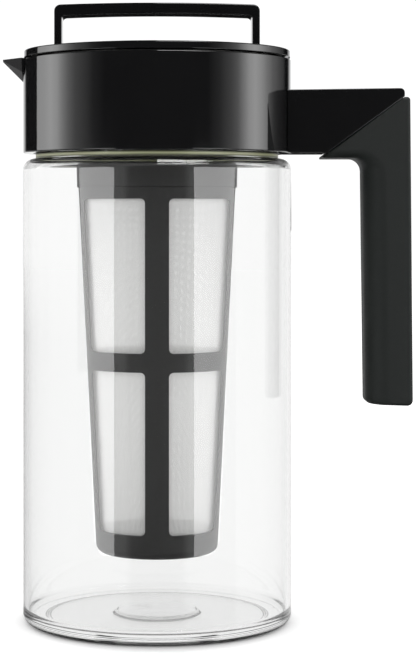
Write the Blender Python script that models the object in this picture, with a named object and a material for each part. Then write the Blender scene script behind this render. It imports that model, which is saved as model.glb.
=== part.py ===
"""Cold brew coffee maker: a clear pitcher with a screwed-on pouring collar and handle,
a plug lid with a carrying loop, and a tapered mesh infuser that screws into the lid.

Metres, +Z up. The origin is the centre of the pitcher's underside, on its upright axis.
The spout points to -X and the handle to +X.
"""

import math

import bmesh
import bpy
from mathutils import Matrix, Vector

# Clearances and counts shared by all pieces
SEAT_GAP = 0.0003
OVERRUN = 0.002
SEGMENTS = 48
ARC_STEPS = 3
ORING_STEPS = 6

# Pitcher body
BODY_RADIUS = 0.058
BODY_WALL = 0.0024
BODY_HEIGHT = 0.1995
BASE_CORNER = 0.0045
BASE_THICKNESS = 0.0042
BASE_INNER_CORNER = 0.0035
SHOULDER_CORNER = 0.0048
FOOT_RING_WIDTH = 0.006
FOOT_RECESS = 0.0012
CENTRE_PAD_RADIUS = 0.0174
FLOOR_STEP = 0.0008
RIM_CORNER = 0.0006

# Pitcher neck
NECK_WALL = 0.0024
NECK_SUNK = 0.0181

# Screw thread between the neck and the collar
COLLAR_THREAD_PITCH = 0.005
COLLAR_THREAD_HEIGHT = 0.0014
COLLAR_THREAD_ROOT = 0.0020
COLLAR_THREAD_CREST = 0.0010
COLLAR_THREAD_RISE = 0.0075
NECK_THREAD_TURNS = 1.25
LINER_THREAD_TURNS = 0.75

# Screw thread between the lid and the infuser
INFUSER_THREAD_PITCH = 0.004
INFUSER_THREAD_HEIGHT = 0.0011
INFUSER_THREAD_ROOT = 0.0018
INFUSER_THREAD_CREST = 0.0008
INFUSER_THREAD_RISE = 0.0020
BOSS_THREAD_TURNS = 1.25
RING_THREAD_TURNS = 0.75
RING_THREAD_START_TURN = 0.25

# What both threads share
THREAD_CLEARANCE = 0.0004
THREAD_RUNOUT = 0.0002
THREAD_EMBED = 0.0010
THREAD_STEPS_PER_TURN = 32
THREAD_RUNOUT_STEPS = 4

# Seals between the pitcher and the collar
SHOULDER_SEAL_THICKNESS = 0.0018
SHOULDER_SEAL_WIDTH = 0.0016
NECK_GASKET_THICKNESS = 0.0016

# Collar: outer shell and inner liner
COLLAR_SETBACK = 0.0002
COLLAR_WALL = 0.0022
COLLAR_HEIGHT = 0.0402
COLLAR_TOP_CORNER = 0.0005
COLLAR_FOOT_CORNER = 0.0005
COLLAR_FOOT_FLANGE = 0.0016
LINER_WALL = 0.0022
LINER_LEDGE = 0.0020
LINER_FLANGE = 0.0016
LINER_SUNK = 0.0010

# Spout
SPOUT_LENGTH = 0.0088
SPOUT_HALF_WIDTH = 0.0135
SPOUT_TIP_HALF_WIDTH = 0.0012
SPOUT_WALL = 0.0014
SPOUT_TIP_WALL = 0.0006
SPOUT_DEPTH = 0.0088
SPOUT_TIP_DEPTH = 0.0013
SPOUT_RIM_DROP = 0.0002
SPOUT_ARC_STEPS = 10

# Handle: arm, soft grip and the core inside both
ARM_HEIGHT = 0.0266
ARM_RISE = 0.0010
ARM_LENGTH = 0.0479
ARM_ROOT_HALF_WIDTH = 0.0170
ARM_TIP_HALF_WIDTH = 0.0140
ARM_CORNER = 0.0030
ARM_EDGE = 0.0005
GRIP_OVERHANG = 0.0035
GRIP_DEPTH = 0.0199
GRIP_FOOT_DEPTH = 0.0197
GRIP_LEAN = 0.0011
GRIP_LENGTH = 0.1319
GRIP_SIDE_STEP = 0.0004
GRIP_UNDERLAP = 0.0023
GRIP_INNER_CORNER = 0.0053
GRIP_FOOT_CORNER = 0.0024
GRIP_FOOT_SLOPE = 0.0006
GRIP_PALM_ROUND = 0.0100
GRIP_UNDER_ROUND = 0.0040
GRIP_BACK_ROUND = 0.0014
GRIP_SEAM_ROUND = 0.0004
GRIP_TIP_ROUND = 0.0005
GRIP_ROUND_STEPS = 6
GRIP_ARC_STEPS = 4
SEAM_OFFSET = 0.0121
SEAM_END_DROP = 0.0028
CORE_HALF_WIDTH = 0.0085
CORE_COVER = 0.0024
CORE_DEPTH = 0.0120
CORE_FOOT = 0.0060

# Screws that hold the handle core to the collar shell
SCREW_RADIUS = 0.0015
SCREW_HEAD_RADIUS = 0.0030
SCREW_HEAD_HEIGHT = 0.0016
SCREW_HEAD_CLEARANCE = 0.0007
SCREW_LENGTH = 0.0160
SCREW_SPACING = 0.0120
SCREW_SEGMENTS = 16

# Lid cap and its carrying loop
CAP_SETBACK = 0.0003
CAP_THICKNESS = 0.0031
CAP_TOP_CORNER = 0.0006
CAP_FOOT_CORNER = 0.0005
CAP_SPIGOT_WALL = 0.0020
CAP_SPIGOT_DEPTH = 0.0034
LID_SEAM = 0.0009
LOOP_INSET = 0.0133
LOOP_HEIGHT = 0.0204
LOOP_ARCH = 0.0009
LOOP_BAR_THICKNESS = 0.0046
LOOP_LEG_THICKNESS = 0.0026
LOOP_HALF_WIDTH = 0.0078
LOOP_OUTER_CORNER = 0.0028
LOOP_INNER_CORNER = 0.0016
LOOP_EDGE = 0.0004
LOOP_SEAT_DEPTH = 0.0020
LOOP_ARCH_STEPS = 8

# Lid plug and its strainer slots
PLUG_UPPER_CLEARANCE = 0.0004
PLUG_LOWER_CLEARANCE = 0.0012
PLUG_WALL = 0.0030
PLUG_FLOOR = 0.0020
PLUG_DEPTH = 0.0285
PLUG_STEP_RISE = 0.0020
SLOT_COUNT = 8
SLOT_LENGTH = 0.0052
SLOT_HALF_WIDTH = 0.0030
BOSS_SETBACK = 0.0108
BOSS_WALL = 0.0026
BOSS_DEPTH = 0.0150

# Seals on the lid
ORING_SECTION = 0.0010
ORING_GROOVE_LAND = 0.0003
UPPER_ORING_DROP = 0.0010
LOWER_ORING_RISE = 0.0050
LID_GASKET_OFFSET = 0.0020
LID_GASKET_WIDTH = 0.0030
INFUSER_GASKET_THICKNESS = 0.0012

# Turn stop: a lug under the cap in a curved slot in the liner's flange
STOP_OFFSET = 0.0001
STOP_LUG_WIDTH = 0.0014
STOP_LUG_HALF_ANGLE = math.radians(4)
STOP_TURN = math.radians(90)
STOP_START = math.radians(-45)
STOP_SLOT_DEPTH = 0.0009
STOP_SLOT_STEPS = 24
STOP_LUG_STEPS = 3

# Infuser
INFUSER_RING_WALL = 0.0017
INFUSER_RING_STEP_DROP = 0.0031
INFUSER_RING_SKIRT = 0.0089
INFUSER_RING_TAPER = 0.0002
FRAME_SETBACK = 0.0009
FRAME_NARROWING = 0.0077
FRAME_WALL = 0.0018
FRAME_FLOOR_GAP = 0.0249
FRAME_FLOOR = 0.0020
FRAME_FOOT_CORNER = 0.0040
FRAME_SPIGOT_WALL = 0.0014
FRAME_SPIGOT_HEIGHT = 0.0070
RIB_HALF_WIDTH = 0.0050
SIDE_RIB = 0.0035
TOP_BAND = 0.0050
MID_BAND = 0.0077
MID_BAND_FOOT = 0.0790
FOOT_BAND = 0.0103
PANE_CORNER = 0.0020
MESH_THICKNESS = 0.0006

# Radii that follow from the sizes above
BODY_INNER_RADIUS = BODY_RADIUS - BODY_WALL
COLLAR_RADIUS = BODY_RADIUS - COLLAR_SETBACK
COLLAR_INNER_RADIUS = COLLAR_RADIUS - COLLAR_WALL
LINER_FLANGE_RADIUS = COLLAR_INNER_RADIUS - SEAT_GAP
LINER_OUTER_RADIUS = LINER_FLANGE_RADIUS - SCREW_HEAD_HEIGHT - SCREW_HEAD_CLEARANCE
LINER_INNER_RADIUS = LINER_OUTER_RADIUS - LINER_WALL
NECK_RADIUS = LINER_INNER_RADIUS - COLLAR_THREAD_HEIGHT - THREAD_CLEARANCE
NECK_INNER_RADIUS = NECK_RADIUS - NECK_WALL
LINER_BORE_RADIUS = NECK_INNER_RADIUS + SEAT_GAP
LINER_UPPER_RADIUS = LINER_BORE_RADIUS + LINER_WALL
CAP_RADIUS = COLLAR_RADIUS - CAP_SETBACK
STOP_RADIUS = LINER_UPPER_RADIUS + STOP_OFFSET
LID_GASKET_INNER = STOP_RADIUS + LID_GASKET_OFFSET
PLUG_UPPER_RADIUS = LINER_BORE_RADIUS - PLUG_UPPER_CLEARANCE
PLUG_LOWER_RADIUS = NECK_INNER_RADIUS - PLUG_LOWER_CLEARANCE
PLUG_INNER_RADIUS = PLUG_LOWER_RADIUS - PLUG_WALL
UPPER_ORING_RADIUS = LINER_BORE_RADIUS - SEAT_GAP - ORING_SECTION
LOWER_ORING_RADIUS = NECK_INNER_RADIUS - SEAT_GAP - ORING_SECTION
BOSS_RADIUS = PLUG_INNER_RADIUS - BOSS_SETBACK
INFUSER_RING_INNER = BOSS_RADIUS + INFUSER_THREAD_HEIGHT + THREAD_CLEARANCE
INFUSER_RING_RADIUS = INFUSER_RING_INNER + INFUSER_RING_WALL
FRAME_TOP_RADIUS = INFUSER_RING_RADIUS - FRAME_SETBACK
FRAME_FOOT_RADIUS = FRAME_TOP_RADIUS - FRAME_NARROWING
FRAME_SPIGOT_RADIUS = FRAME_TOP_RADIUS - FRAME_SPIGOT_WALL

# Reaches and widths that follow
SPOUT_REACH = COLLAR_RADIUS + SPOUT_LENGTH
CHANNEL_HALF_WIDTH = SPOUT_HALF_WIDTH - SPOUT_WALL
HANDLE_ROOT_RADIUS = COLLAR_RADIUS + SEAT_GAP
HANDLE_ROOT_START = HANDLE_ROOT_RADIUS - ARM_ROOT_HALF_WIDTH / 2
SEAM_START = COLLAR_RADIUS + SEAM_OFFSET
ARM_REACH = COLLAR_RADIUS + ARM_LENGTH
GRIP_REACH = ARM_REACH + GRIP_OVERHANG
GRIP_HALF_WIDTH = ARM_TIP_HALF_WIDTH + GRIP_SIDE_STEP
CORE_INNER = GRIP_REACH - GRIP_FOOT_DEPTH + CORE_COVER
LOOP_HALF_SPAN = CAP_RADIUS - LOOP_INSET

# Levels that follow, from the shoulder up
SHOULDER_SEAL_FOOT = BODY_HEIGHT + SEAT_GAP
COLLAR_FOOT = SHOULDER_SEAL_FOOT + SHOULDER_SEAL_THICKNESS + SEAT_GAP
COLLAR_TOP = COLLAR_FOOT + COLLAR_HEIGHT
NECK_TOP = COLLAR_TOP - NECK_SUNK
NECK_GASKET_FOOT = NECK_TOP + SEAT_GAP
LEDGE_FOOT = NECK_GASKET_FOOT + NECK_GASKET_THICKNESS + SEAT_GAP
LEDGE_TOP = LEDGE_FOOT + LINER_LEDGE
LINER_TOP = COLLAR_TOP - LINER_SUNK
FLANGE_FOOT = LINER_TOP - LINER_FLANGE
SPOUT_TOP = COLLAR_TOP - SPOUT_RIM_DROP
SPOUT_FOOT = SPOUT_TOP - SPOUT_DEPTH
PORT_FOOT = SPOUT_FOOT + SPOUT_WALL
PORT_TOP = FLANGE_FOOT - SEAT_GAP
LID_GASKET_FOOT = LINER_TOP + SEAT_GAP
CAP_FOOT = COLLAR_TOP + LID_SEAM
CAP_TOP = CAP_FOOT + CAP_THICKNESS
ARM_TOP = COLLAR_FOOT + ARM_HEIGHT
GRIP_UNDER = COLLAR_FOOT - GRIP_UNDERLAP
GRIP_FOOT = ARM_TOP - GRIP_UNDERLAP - GRIP_LENGTH

# Levels that follow, from the lid's plug down to the infuser's foot
PLUG_TOP = CAP_FOOT - SEAT_GAP
PLUG_FOOT = PLUG_TOP - PLUG_DEPTH
PLUG_STEP = LEDGE_TOP + PLUG_STEP_RISE
UPPER_ORING_LEVEL = PLUG_STEP - UPPER_ORING_DROP - ORING_SECTION
LOWER_ORING_LEVEL = PLUG_FOOT + LOWER_ORING_RISE
BOSS_FOOT = PLUG_FOOT - BOSS_DEPTH
INFUSER_GASKET_TOP = PLUG_FOOT - SEAT_GAP
INFUSER_GASKET_FOOT = INFUSER_GASKET_TOP - INFUSER_GASKET_THICKNESS
INFUSER_RING_TOP = INFUSER_GASKET_FOOT - SEAT_GAP
INFUSER_RING_STEP = BOSS_FOOT - INFUSER_RING_STEP_DROP
INFUSER_RING_FOOT = INFUSER_RING_STEP - INFUSER_RING_SKIRT
FRAME_TOP = INFUSER_RING_FOOT - SEAT_GAP
FRAME_FOOT = BASE_THICKNESS + FLOOR_STEP + FRAME_FLOOR_GAP
FRAME_TAPER = (FRAME_TOP_RADIUS - FRAME_FOOT_RADIUS) / (FRAME_TOP - FRAME_FOOT)


def clear_scene():
    for obj in list(bpy.data.objects):
        bpy.data.objects.remove(obj)


def material(name, colour, roughness, alpha=1.0, metallic=0.0):
    made = bpy.data.materials.new(name)
    made.use_nodes = True
    shader = made.node_tree.nodes["Principled BSDF"]
    shader.inputs["Base Color"].default_value = (*colour, 1.0)
    shader.inputs["Roughness"].default_value = roughness
    shader.inputs["Metallic"].default_value = metallic
    shader.inputs["Alpha"].default_value = alpha
    made.diffuse_color = (*colour, alpha)
    return made


def empty(name, parent=None):
    """An empty on the upright axis, which the pieces of one moving group hang from."""
    made = bpy.data.objects.new(name, None)
    bpy.context.scene.collection.objects.link(made)
    made.parent = parent
    return made


def finished(name, mesh, finish, parent):
    """The mesh as an object, its faces pointing out, shaded smooth with its sharp edges kept."""
    mesh.normal_update()
    bmesh.ops.recalc_face_normals(mesh, faces=mesh.faces)
    data = bpy.data.meshes.new(name)
    mesh.to_mesh(data)
    mesh.free()
    data.shade_smooth()
    data.set_sharp_from_angle(angle=math.radians(30))
    data.materials.append(finish)
    made = bpy.data.objects.new(name, data)
    bpy.context.scene.collection.objects.link(made)
    made.parent = parent
    return made


def rounded(corners, closed, steps=ARC_STEPS):
    """The outline through corners (a, b, fillet radius). Each fillet is an arc, and one no larger
    than a rim's is a single flat."""
    points = []
    count = len(corners)
    for index, (a, b, radius) in enumerate(corners):
        here = Vector((a, b))
        ends = not closed and index in (0, count - 1)
        if ends or radius <= 0:
            points.append(here)
            continue
        before = (Vector(corners[index - 1][:2]) - here).normalized()
        after = (Vector(corners[(index + 1) % count][:2]) - here).normalized()
        half = before.angle(after) / 2
        reach = radius / math.tan(half)
        centre = here + (before + after).normalized() * radius / math.sin(half)
        first = here + before * reach - centre
        last = here + after * reach - centre
        sweep = math.atan2(first.x * last.y - first.y * last.x, first.dot(last))
        flats = steps if radius > RIM_CORNER else 1
        for step in range(flats + 1):
            cosine = math.cos(sweep * step / flats)
            sine = math.sin(sweep * step / flats)
            turned_point = Vector((first.x * cosine - first.y * sine, first.x * sine + first.y * cosine))
            points.append(centre + turned_point)
    return points


def turned(name, corners, finish, parent):
    """A turned piece: its half section (radius, height, fillet) spun round the axis."""
    touches_axis = corners[0][0] == 0 and corners[-1][0] == 0
    outline = rounded(corners, closed=not touches_axis)
    mesh = bmesh.new()
    row = [mesh.verts.new((point.x, 0, point.y)) for point in outline]
    pairs = list(zip(row, row[1:]))
    if not touches_axis:
        pairs.append((row[-1], row[0]))
    edges = [mesh.edges.new(pair) for pair in pairs]
    bmesh.ops.spin(
        mesh, geom=row + edges, cent=(0, 0, 0), axis=(0, 0, 1),
        angle=math.tau, steps=SEGMENTS, use_merge=True,
    )
    bmesh.ops.remove_doubles(mesh, verts=mesh.verts, dist=SEAT_GAP / 100)
    return finished(name, mesh, finish, parent)


def ring(name, inner, outer, foot, top, finish, parent):
    """A flat ring of rectangular section."""
    corners = [(inner, foot, 0), (outer, foot, 0), (outer, top, 0), (inner, top, 0)]
    return turned(name, corners, finish, parent)


def oring(name, centre_radius, section, level, finish, parent):
    corners = []
    for step in range(ORING_STEPS):
        angle = math.tau * (step + 0.5) / ORING_STEPS
        corners.append((centre_radius + section * math.cos(angle), level + section * math.sin(angle), 0))
    return turned(name, corners, finish, parent)


def lofted(name, sections, finish, parent):
    """A solid through closed sections that have the same number of points."""
    mesh = bmesh.new()
    loops = [[mesh.verts.new(point) for point in section] for section in sections]
    for loop, following in zip(loops, loops[1:]):
        for index in range(len(loop)):
            after = (index + 1) % len(loop)
            mesh.faces.new((loop[index], loop[after], following[after], following[index]))
    mesh.faces.new(loops[0])
    mesh.faces.new(loops[-1])
    return finished(name, mesh, finish, parent)


def plate(name, outline, half_width, finish, parent):
    """An outline in the XZ plane made a solid across Y, with its half width at x."""
    sections = [[(p.x, side * half_width(p.x), p.y) for p in outline] for side in (-1, 1)]
    return lofted(name, sections, finish, parent)


def bevelled(obj, width, steps):
    bevel = obj.modifiers.new("edge_round", "BEVEL")
    bevel.width = width
    bevel.segments = steps
    bevel.limit_method = "ANGLE"
    bevel.angle_limit = math.radians(35)
    return obj


def combined(obj, tool, operation):
    """obj with tool cut from it or joined to it. The tool stays as a hidden guide."""
    tool.hide_render = True
    tool.display_type = "WIRE"
    boolean = obj.modifiers.new(tool.name, "BOOLEAN")
    boolean.operation = operation
    boolean.object = tool
    return obj


def cut(obj, tool):
    return combined(obj, tool, "DIFFERENCE")


def joined(obj, tool):
    return combined(obj, tool, "UNION")


def thread_ridge(name, wall, outward, start, turns, foot, sizes, parent):
    """A helical ridge on a wall, fading out at both ends. outward is 1 on a neck and -1 in a bore.
    It starts start turns up the helix whose foot is at angle zero."""
    pitch, height, root_width, crest_width = sizes
    steps = round(turns * THREAD_STEPS_PER_TURN)
    sections = []
    for step in range(steps + 1):
        turn = start + step / THREAD_STEPS_PER_TURN
        level = foot + pitch * turn
        fade = min(1.0, min(step, steps - step) / THREAD_RUNOUT_STEPS)
        root = wall - outward * THREAD_EMBED
        crest = wall + outward * (THREAD_RUNOUT + (height - THREAD_RUNOUT) * fade)
        section = []
        for radius, offset in (
            (root, -root_width / 2),
            (crest, -crest_width / 2),
            (crest, crest_width / 2),
            (root, root_width / 2),
        ):
            angle = math.tau * turn
            section.append((radius * math.cos(angle), radius * math.sin(angle), level + offset))
        sections.append(section)
    return lofted(name, sections, guide_finish, parent)


def sector(name, inner, outer, start, end, foot, top, steps, parent):
    """A piece of a ring between two angles."""
    sections = []
    for step in range(steps + 1):
        angle = start + (end - start) * step / steps
        section = []
        for radius, level in ((inner, foot), (outer, foot), (outer, top), (inner, top)):
            section.append((radius * math.cos(angle), radius * math.sin(angle), level))
        sections.append(section)
    return lofted(name, sections, guide_finish, parent)


def box(name, low, high, parent):
    corners = [(low[0], low[2]), (high[0], low[2]), (high[0], high[2]), (low[0], high[2])]
    sections = [[(x, y, z) for x, z in corners] for y in (low[1], high[1])]
    return lofted(name, sections, guide_finish, parent)


def rod(name, radius, start, end, level, finish, parent):
    """A plain round bar along X."""
    sections = []
    for x in (start, end):
        section = []
        for step in range(SCREW_SEGMENTS):
            angle = math.tau * step / SCREW_SEGMENTS
            section.append((x, radius * math.cos(angle), level + radius * math.sin(angle)))
        sections.append(section)
    return lofted(name, sections, finish, parent)


def trough_section(x, half_width, shoulder, foot, top):
    """A section across the spout at x: half an ellipse below the shoulder, upright sides above it."""
    section = [(x, -half_width, top)] if top > shoulder else []
    for step in range(SPOUT_ARC_STEPS + 1):
        angle = math.pi * (step / SPOUT_ARC_STEPS - 1 / 2)
        section.append((x, half_width * math.sin(angle), shoulder - (shoulder - foot) * math.cos(angle)))
    if top > shoulder:
        section.append((x, half_width, top))
    return section


def pitcher_body():
    foot_inner = BODY_RADIUS - BASE_CORNER - FOOT_RING_WIDTH
    corners = [
        (0, 0, 0),
        (CENTRE_PAD_RADIUS, 0, 0),
        (CENTRE_PAD_RADIUS + FOOT_RECESS, FOOT_RECESS, 0),
        (foot_inner - FOOT_RECESS, FOOT_RECESS, 0),
        (foot_inner, 0, 0),
        (BODY_RADIUS, 0, BASE_CORNER),
        (BODY_RADIUS, BODY_HEIGHT, SHOULDER_CORNER),
        (NECK_RADIUS, BODY_HEIGHT, 0),
        (NECK_RADIUS, NECK_TOP, RIM_CORNER),
        (NECK_INNER_RADIUS, NECK_TOP, RIM_CORNER),
        (NECK_INNER_RADIUS, BODY_HEIGHT - BODY_WALL, 0),
        (BODY_INNER_RADIUS, BODY_HEIGHT - BODY_WALL, SHOULDER_CORNER - BODY_WALL),
        (BODY_INNER_RADIUS, BASE_THICKNESS, BASE_INNER_CORNER),
        (CENTRE_PAD_RADIUS + FLOOR_STEP, BASE_THICKNESS, 0),
        (CENTRE_PAD_RADIUS, BASE_THICKNESS + FLOOR_STEP, 0),
        (0, BASE_THICKNESS + FLOOR_STEP, 0),
    ]
    body = turned("pitcher_body", corners, clear_plastic, pitcher)
    foot = BODY_HEIGHT + COLLAR_THREAD_RISE
    sizes = (COLLAR_THREAD_PITCH, COLLAR_THREAD_HEIGHT, COLLAR_THREAD_ROOT, COLLAR_THREAD_CREST)
    ridge = thread_ridge("neck_thread", NECK_RADIUS, 1, 0, NECK_THREAD_TURNS, foot, sizes, pitcher)
    joined(body, ridge)


def collar_seals():
    seal_top = SHOULDER_SEAL_FOOT + SHOULDER_SEAL_THICKNESS
    seal_outer = LINER_INNER_RADIUS + SHOULDER_SEAL_WIDTH
    ring(
        "shoulder_seal", LINER_INNER_RADIUS, seal_outer, SHOULDER_SEAL_FOOT, seal_top,
        olive_silicone, pitcher,
    )
    gasket_top = NECK_GASKET_FOOT + NECK_GASKET_THICKNESS
    ring(
        "neck_gasket", LINER_BORE_RADIUS, NECK_RADIUS, NECK_GASKET_FOOT, gasket_top,
        pale_silicone, seals,
    )


def spout():
    """The spout's outside and its open channel, both narrowing to the tip."""
    inside = -COLLAR_INNER_RADIUS + SPOUT_DEPTH
    root = -COLLAR_RADIUS
    tip = -SPOUT_REACH
    tip_foot = SPOUT_TOP - SPOUT_TIP_DEPTH
    outside = lofted(
        "spout_outside",
        [
            trough_section(inside, SPOUT_HALF_WIDTH, SPOUT_TOP, SPOUT_FOOT, SPOUT_TOP),
            trough_section(root, SPOUT_HALF_WIDTH, SPOUT_TOP, SPOUT_FOOT, SPOUT_TOP),
            trough_section(tip, SPOUT_TIP_HALF_WIDTH, SPOUT_TOP, tip_foot, SPOUT_TOP),
        ],
        guide_finish, collar,
    )
    above = COLLAR_TOP + OVERRUN
    narrow = SPOUT_TIP_HALF_WIDTH - SPOUT_TIP_WALL
    tip_channel_foot = tip_foot + SPOUT_TIP_WALL
    channel = lofted(
        "spout_channel",
        [
            trough_section(inside, CHANNEL_HALF_WIDTH, SPOUT_TOP, PORT_FOOT, above),
            trough_section(root, CHANNEL_HALF_WIDTH, SPOUT_TOP, PORT_FOOT, above),
            trough_section(tip, narrow, SPOUT_TOP, tip_channel_foot, above),
            trough_section(tip - OVERRUN, narrow, SPOUT_TOP, tip_channel_foot, above),
        ],
        guide_finish, collar,
    )
    return outside, channel


def collar_shell():
    flange_inner = LINER_OUTER_RADIUS + SEAT_GAP
    corners = [
        (flange_inner, COLLAR_FOOT, 0),
        (COLLAR_RADIUS, COLLAR_FOOT, COLLAR_FOOT_CORNER),
        (COLLAR_RADIUS, COLLAR_TOP, COLLAR_TOP_CORNER),
        (flange_inner, COLLAR_TOP, 0),
    ]
    shell = turned("collar_shell", corners, gloss_black, collar)
    outside, channel = spout()
    joined(shell, outside)
    bore_foot = COLLAR_FOOT + COLLAR_FOOT_FLANGE
    above = COLLAR_TOP + OVERRUN
    bore = turned(
        "shell_bore",
        [(0, bore_foot, 0), (COLLAR_INNER_RADIUS, bore_foot, 0), (COLLAR_INNER_RADIUS, above, 0), (0, above, 0)],
        guide_finish, collar,
    )
    cut(shell, bore)
    cut(shell, channel)
    for name, level in screw_levels().items():
        start = COLLAR_INNER_RADIUS - OVERRUN
        end = COLLAR_RADIUS + OVERRUN
        cut(shell, rod(name + "_hole", SCREW_RADIUS + SEAT_GAP, start, end, level, guide_finish, collar))


def collar_liner():
    corners = [
        (LINER_INNER_RADIUS, COLLAR_FOOT, 0),
        (LINER_OUTER_RADIUS, COLLAR_FOOT, 0),
        (LINER_OUTER_RADIUS, LEDGE_TOP, 0),
        (LINER_UPPER_RADIUS, LEDGE_TOP, 0),
        (LINER_UPPER_RADIUS, FLANGE_FOOT, 0),
        (LINER_FLANGE_RADIUS, FLANGE_FOOT, 0),
        (LINER_FLANGE_RADIUS, LINER_TOP, 0),
        (LINER_BORE_RADIUS, LINER_TOP, RIM_CORNER),
        (LINER_BORE_RADIUS, LEDGE_FOOT, 0),
        (LINER_INNER_RADIUS, LEDGE_FOOT, 0),
    ]
    liner = turned("collar_liner", corners, satin_black, collar)
    flanks = (COLLAR_THREAD_ROOT + COLLAR_THREAD_CREST) / 2
    foot = BODY_HEIGHT + COLLAR_THREAD_RISE - flanks - SEAT_GAP
    sizes = (COLLAR_THREAD_PITCH, COLLAR_THREAD_HEIGHT, COLLAR_THREAD_ROOT, COLLAR_THREAD_CREST)
    ridge = thread_ridge("liner_thread", LINER_INNER_RADIUS, -1, 0, LINER_THREAD_TURNS, foot, sizes, collar)
    joined(liner, ridge)
    half_angle = math.asin(SPOUT_HALF_WIDTH / LINER_FLANGE_RADIUS)
    duct = sector(
        "pour_duct", LINER_BORE_RADIUS + LINER_WALL / 2, LINER_FLANGE_RADIUS, math.pi - half_angle,
        math.pi + half_angle, SPOUT_FOOT, FLANGE_FOOT + LINER_FLANGE / 2, SPOUT_ARC_STEPS, collar,
    )
    joined(liner, duct)
    port = lofted(
        "pour_port",
        [
            trough_section(x, CHANNEL_HALF_WIDTH, PORT_TOP, PORT_FOOT, PORT_TOP)
            for x in (-COLLAR_RADIUS, -LINER_BORE_RADIUS + SPOUT_DEPTH)
        ],
        guide_finish, collar,
    )
    cut(liner, port)
    half = STOP_LUG_WIDTH / 2 + THREAD_CLEARANCE
    margin = STOP_LUG_HALF_ANGLE + SEAT_GAP / STOP_RADIUS
    slot = sector(
        "stop_slot", STOP_RADIUS - half, STOP_RADIUS + half, STOP_START - margin,
        STOP_START + STOP_TURN + margin, LINER_TOP - STOP_SLOT_DEPTH, LINER_TOP + OVERRUN,
        STOP_SLOT_STEPS, collar,
    )
    cut(liner, slot)


def screw_levels():
    middle = COLLAR_FOOT + ARM_HEIGHT / 2
    return {
        "handle_screw_upper": middle + SCREW_SPACING / 2,
        "handle_screw_lower": middle - SCREW_SPACING / 2,
    }


def seam_line():
    """The two ends of the slanting joint between the arm and the grip, in X and Z."""
    return Vector((SEAM_START, GRIP_UNDER)), Vector((ARM_REACH, ARM_TOP - SEAM_END_DROP))


def arm_outline():
    """The arm seen from the side. It stops a seat gap above the slanting joint."""
    start, end = seam_line()
    along = (end - start).normalized()
    away = Vector((-along.y, along.x)) * SEAT_GAP
    low = start + away
    low += along * ((COLLAR_FOOT - low.y) / along.y)
    high = end + away
    corners = [
        (HANDLE_ROOT_START, COLLAR_FOOT, 0),
        (low.x, low.y, 0),
        (ARM_REACH, high.y, 0),
        (ARM_REACH, ARM_TOP + ARM_RISE, ARM_CORNER - ARM_RISE),
        (HANDLE_ROOT_START, ARM_TOP, 0),
    ]
    return rounded(corners, closed=True)


def grip_section(y):
    """The grip's outline at y. Towards its near and far faces each side draws in on its own
    arc: a wide one for the palm, firmer ones at the back and the foot, and nearly none along
    the slanting joint."""
    start, end = seam_line()
    corners = [start, end, Vector((GRIP_REACH - GRIP_LEAN, end.y))]
    corners += [Vector((GRIP_REACH, GRIP_FOOT - GRIP_FOOT_SLOPE))]
    corners += [Vector((GRIP_REACH - GRIP_FOOT_DEPTH, GRIP_FOOT))]
    corners += [Vector((GRIP_REACH - GRIP_LEAN - GRIP_DEPTH, GRIP_UNDER))]
    rounds = [
        GRIP_SEAM_ROUND, GRIP_BACK_ROUND, GRIP_BACK_ROUND,
        GRIP_BACK_ROUND, GRIP_PALM_ROUND, GRIP_UNDER_ROUND,
    ]
    insets, sides = [], []
    for index, round_radius in enumerate(rounds):
        past = max(0, abs(y) - (GRIP_HALF_WIDTH - round_radius))
        insets.append(round_radius - math.sqrt(max(0, round_radius**2 - past**2)))
        along = (corners[(index + 1) % len(corners)] - corners[index]).normalized()
        sides.append((corners[index] + Vector((along.y, -along.x)) * insets[-1], along))
    fillets = [GRIP_TIP_ROUND, 0, GRIP_BACK_ROUND, GRIP_FOOT_CORNER, GRIP_FOOT_CORNER]
    fillets += [GRIP_INNER_CORNER + (insets[4] + insets[5]) / 2]
    outline = []
    for index, fillet in enumerate(fillets):
        (before, along_before), (here, along) = sides[index - 1], sides[index]
        across = Vector((along.y, -along.x))
        met = before + along_before * ((here - before).dot(across) / along_before.dot(across))
        outline.append((met.x, met.y, fillet))
    points = rounded(outline, closed=True, steps=GRIP_ARC_STEPS)
    return [(point.x, y, point.y) for point in points]


def core_outline(gap):
    """The handle's core seen from the side, or the pocket for it with a gap all round."""
    foot = COLLAR_FOOT + CORE_COVER - gap
    top = ARM_TOP - CORE_COVER + gap
    inner = CORE_INNER - gap
    outer = CORE_INNER + CORE_DEPTH + gap
    end = GRIP_FOOT + CORE_FOOT - gap
    corners = [
        (HANDLE_ROOT_START, foot), (inner, foot), (inner, end),
        (outer, end), (outer, top), (HANDLE_ROOT_START, top),
    ]
    return [Vector(corner) for corner in corners]


def arm_half_width(x):
    share = (x - HANDLE_ROOT_RADIUS) / (ARM_REACH - HANDLE_ROOT_RADIUS)
    return ARM_ROOT_HALF_WIDTH + (ARM_TIP_HALF_WIDTH - ARM_ROOT_HALF_WIDTH) * share


def grip_solid():
    middle = GRIP_HALF_WIDTH - GRIP_PALM_ROUND
    turn = math.pi / 2 / GRIP_ROUND_STEPS
    reaches = [middle + GRIP_PALM_ROUND * math.sin(turn * step) for step in range(GRIP_ROUND_STEPS + 1)]
    sections = [grip_section(y) for y in [-reach for reach in reversed(reaches)] + reaches]
    return lofted("grip", sections, soft_black, collar)


def handle_root():
    """A round cutter that fits the handle to the collar shell."""
    corners = [
        (0, GRIP_FOOT, 0), (HANDLE_ROOT_RADIUS, GRIP_FOOT, 0),
        (HANDLE_ROOT_RADIUS, CAP_TOP, 0), (0, CAP_TOP, 0),
    ]
    return turned("handle_root", corners, guide_finish, collar)


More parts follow.
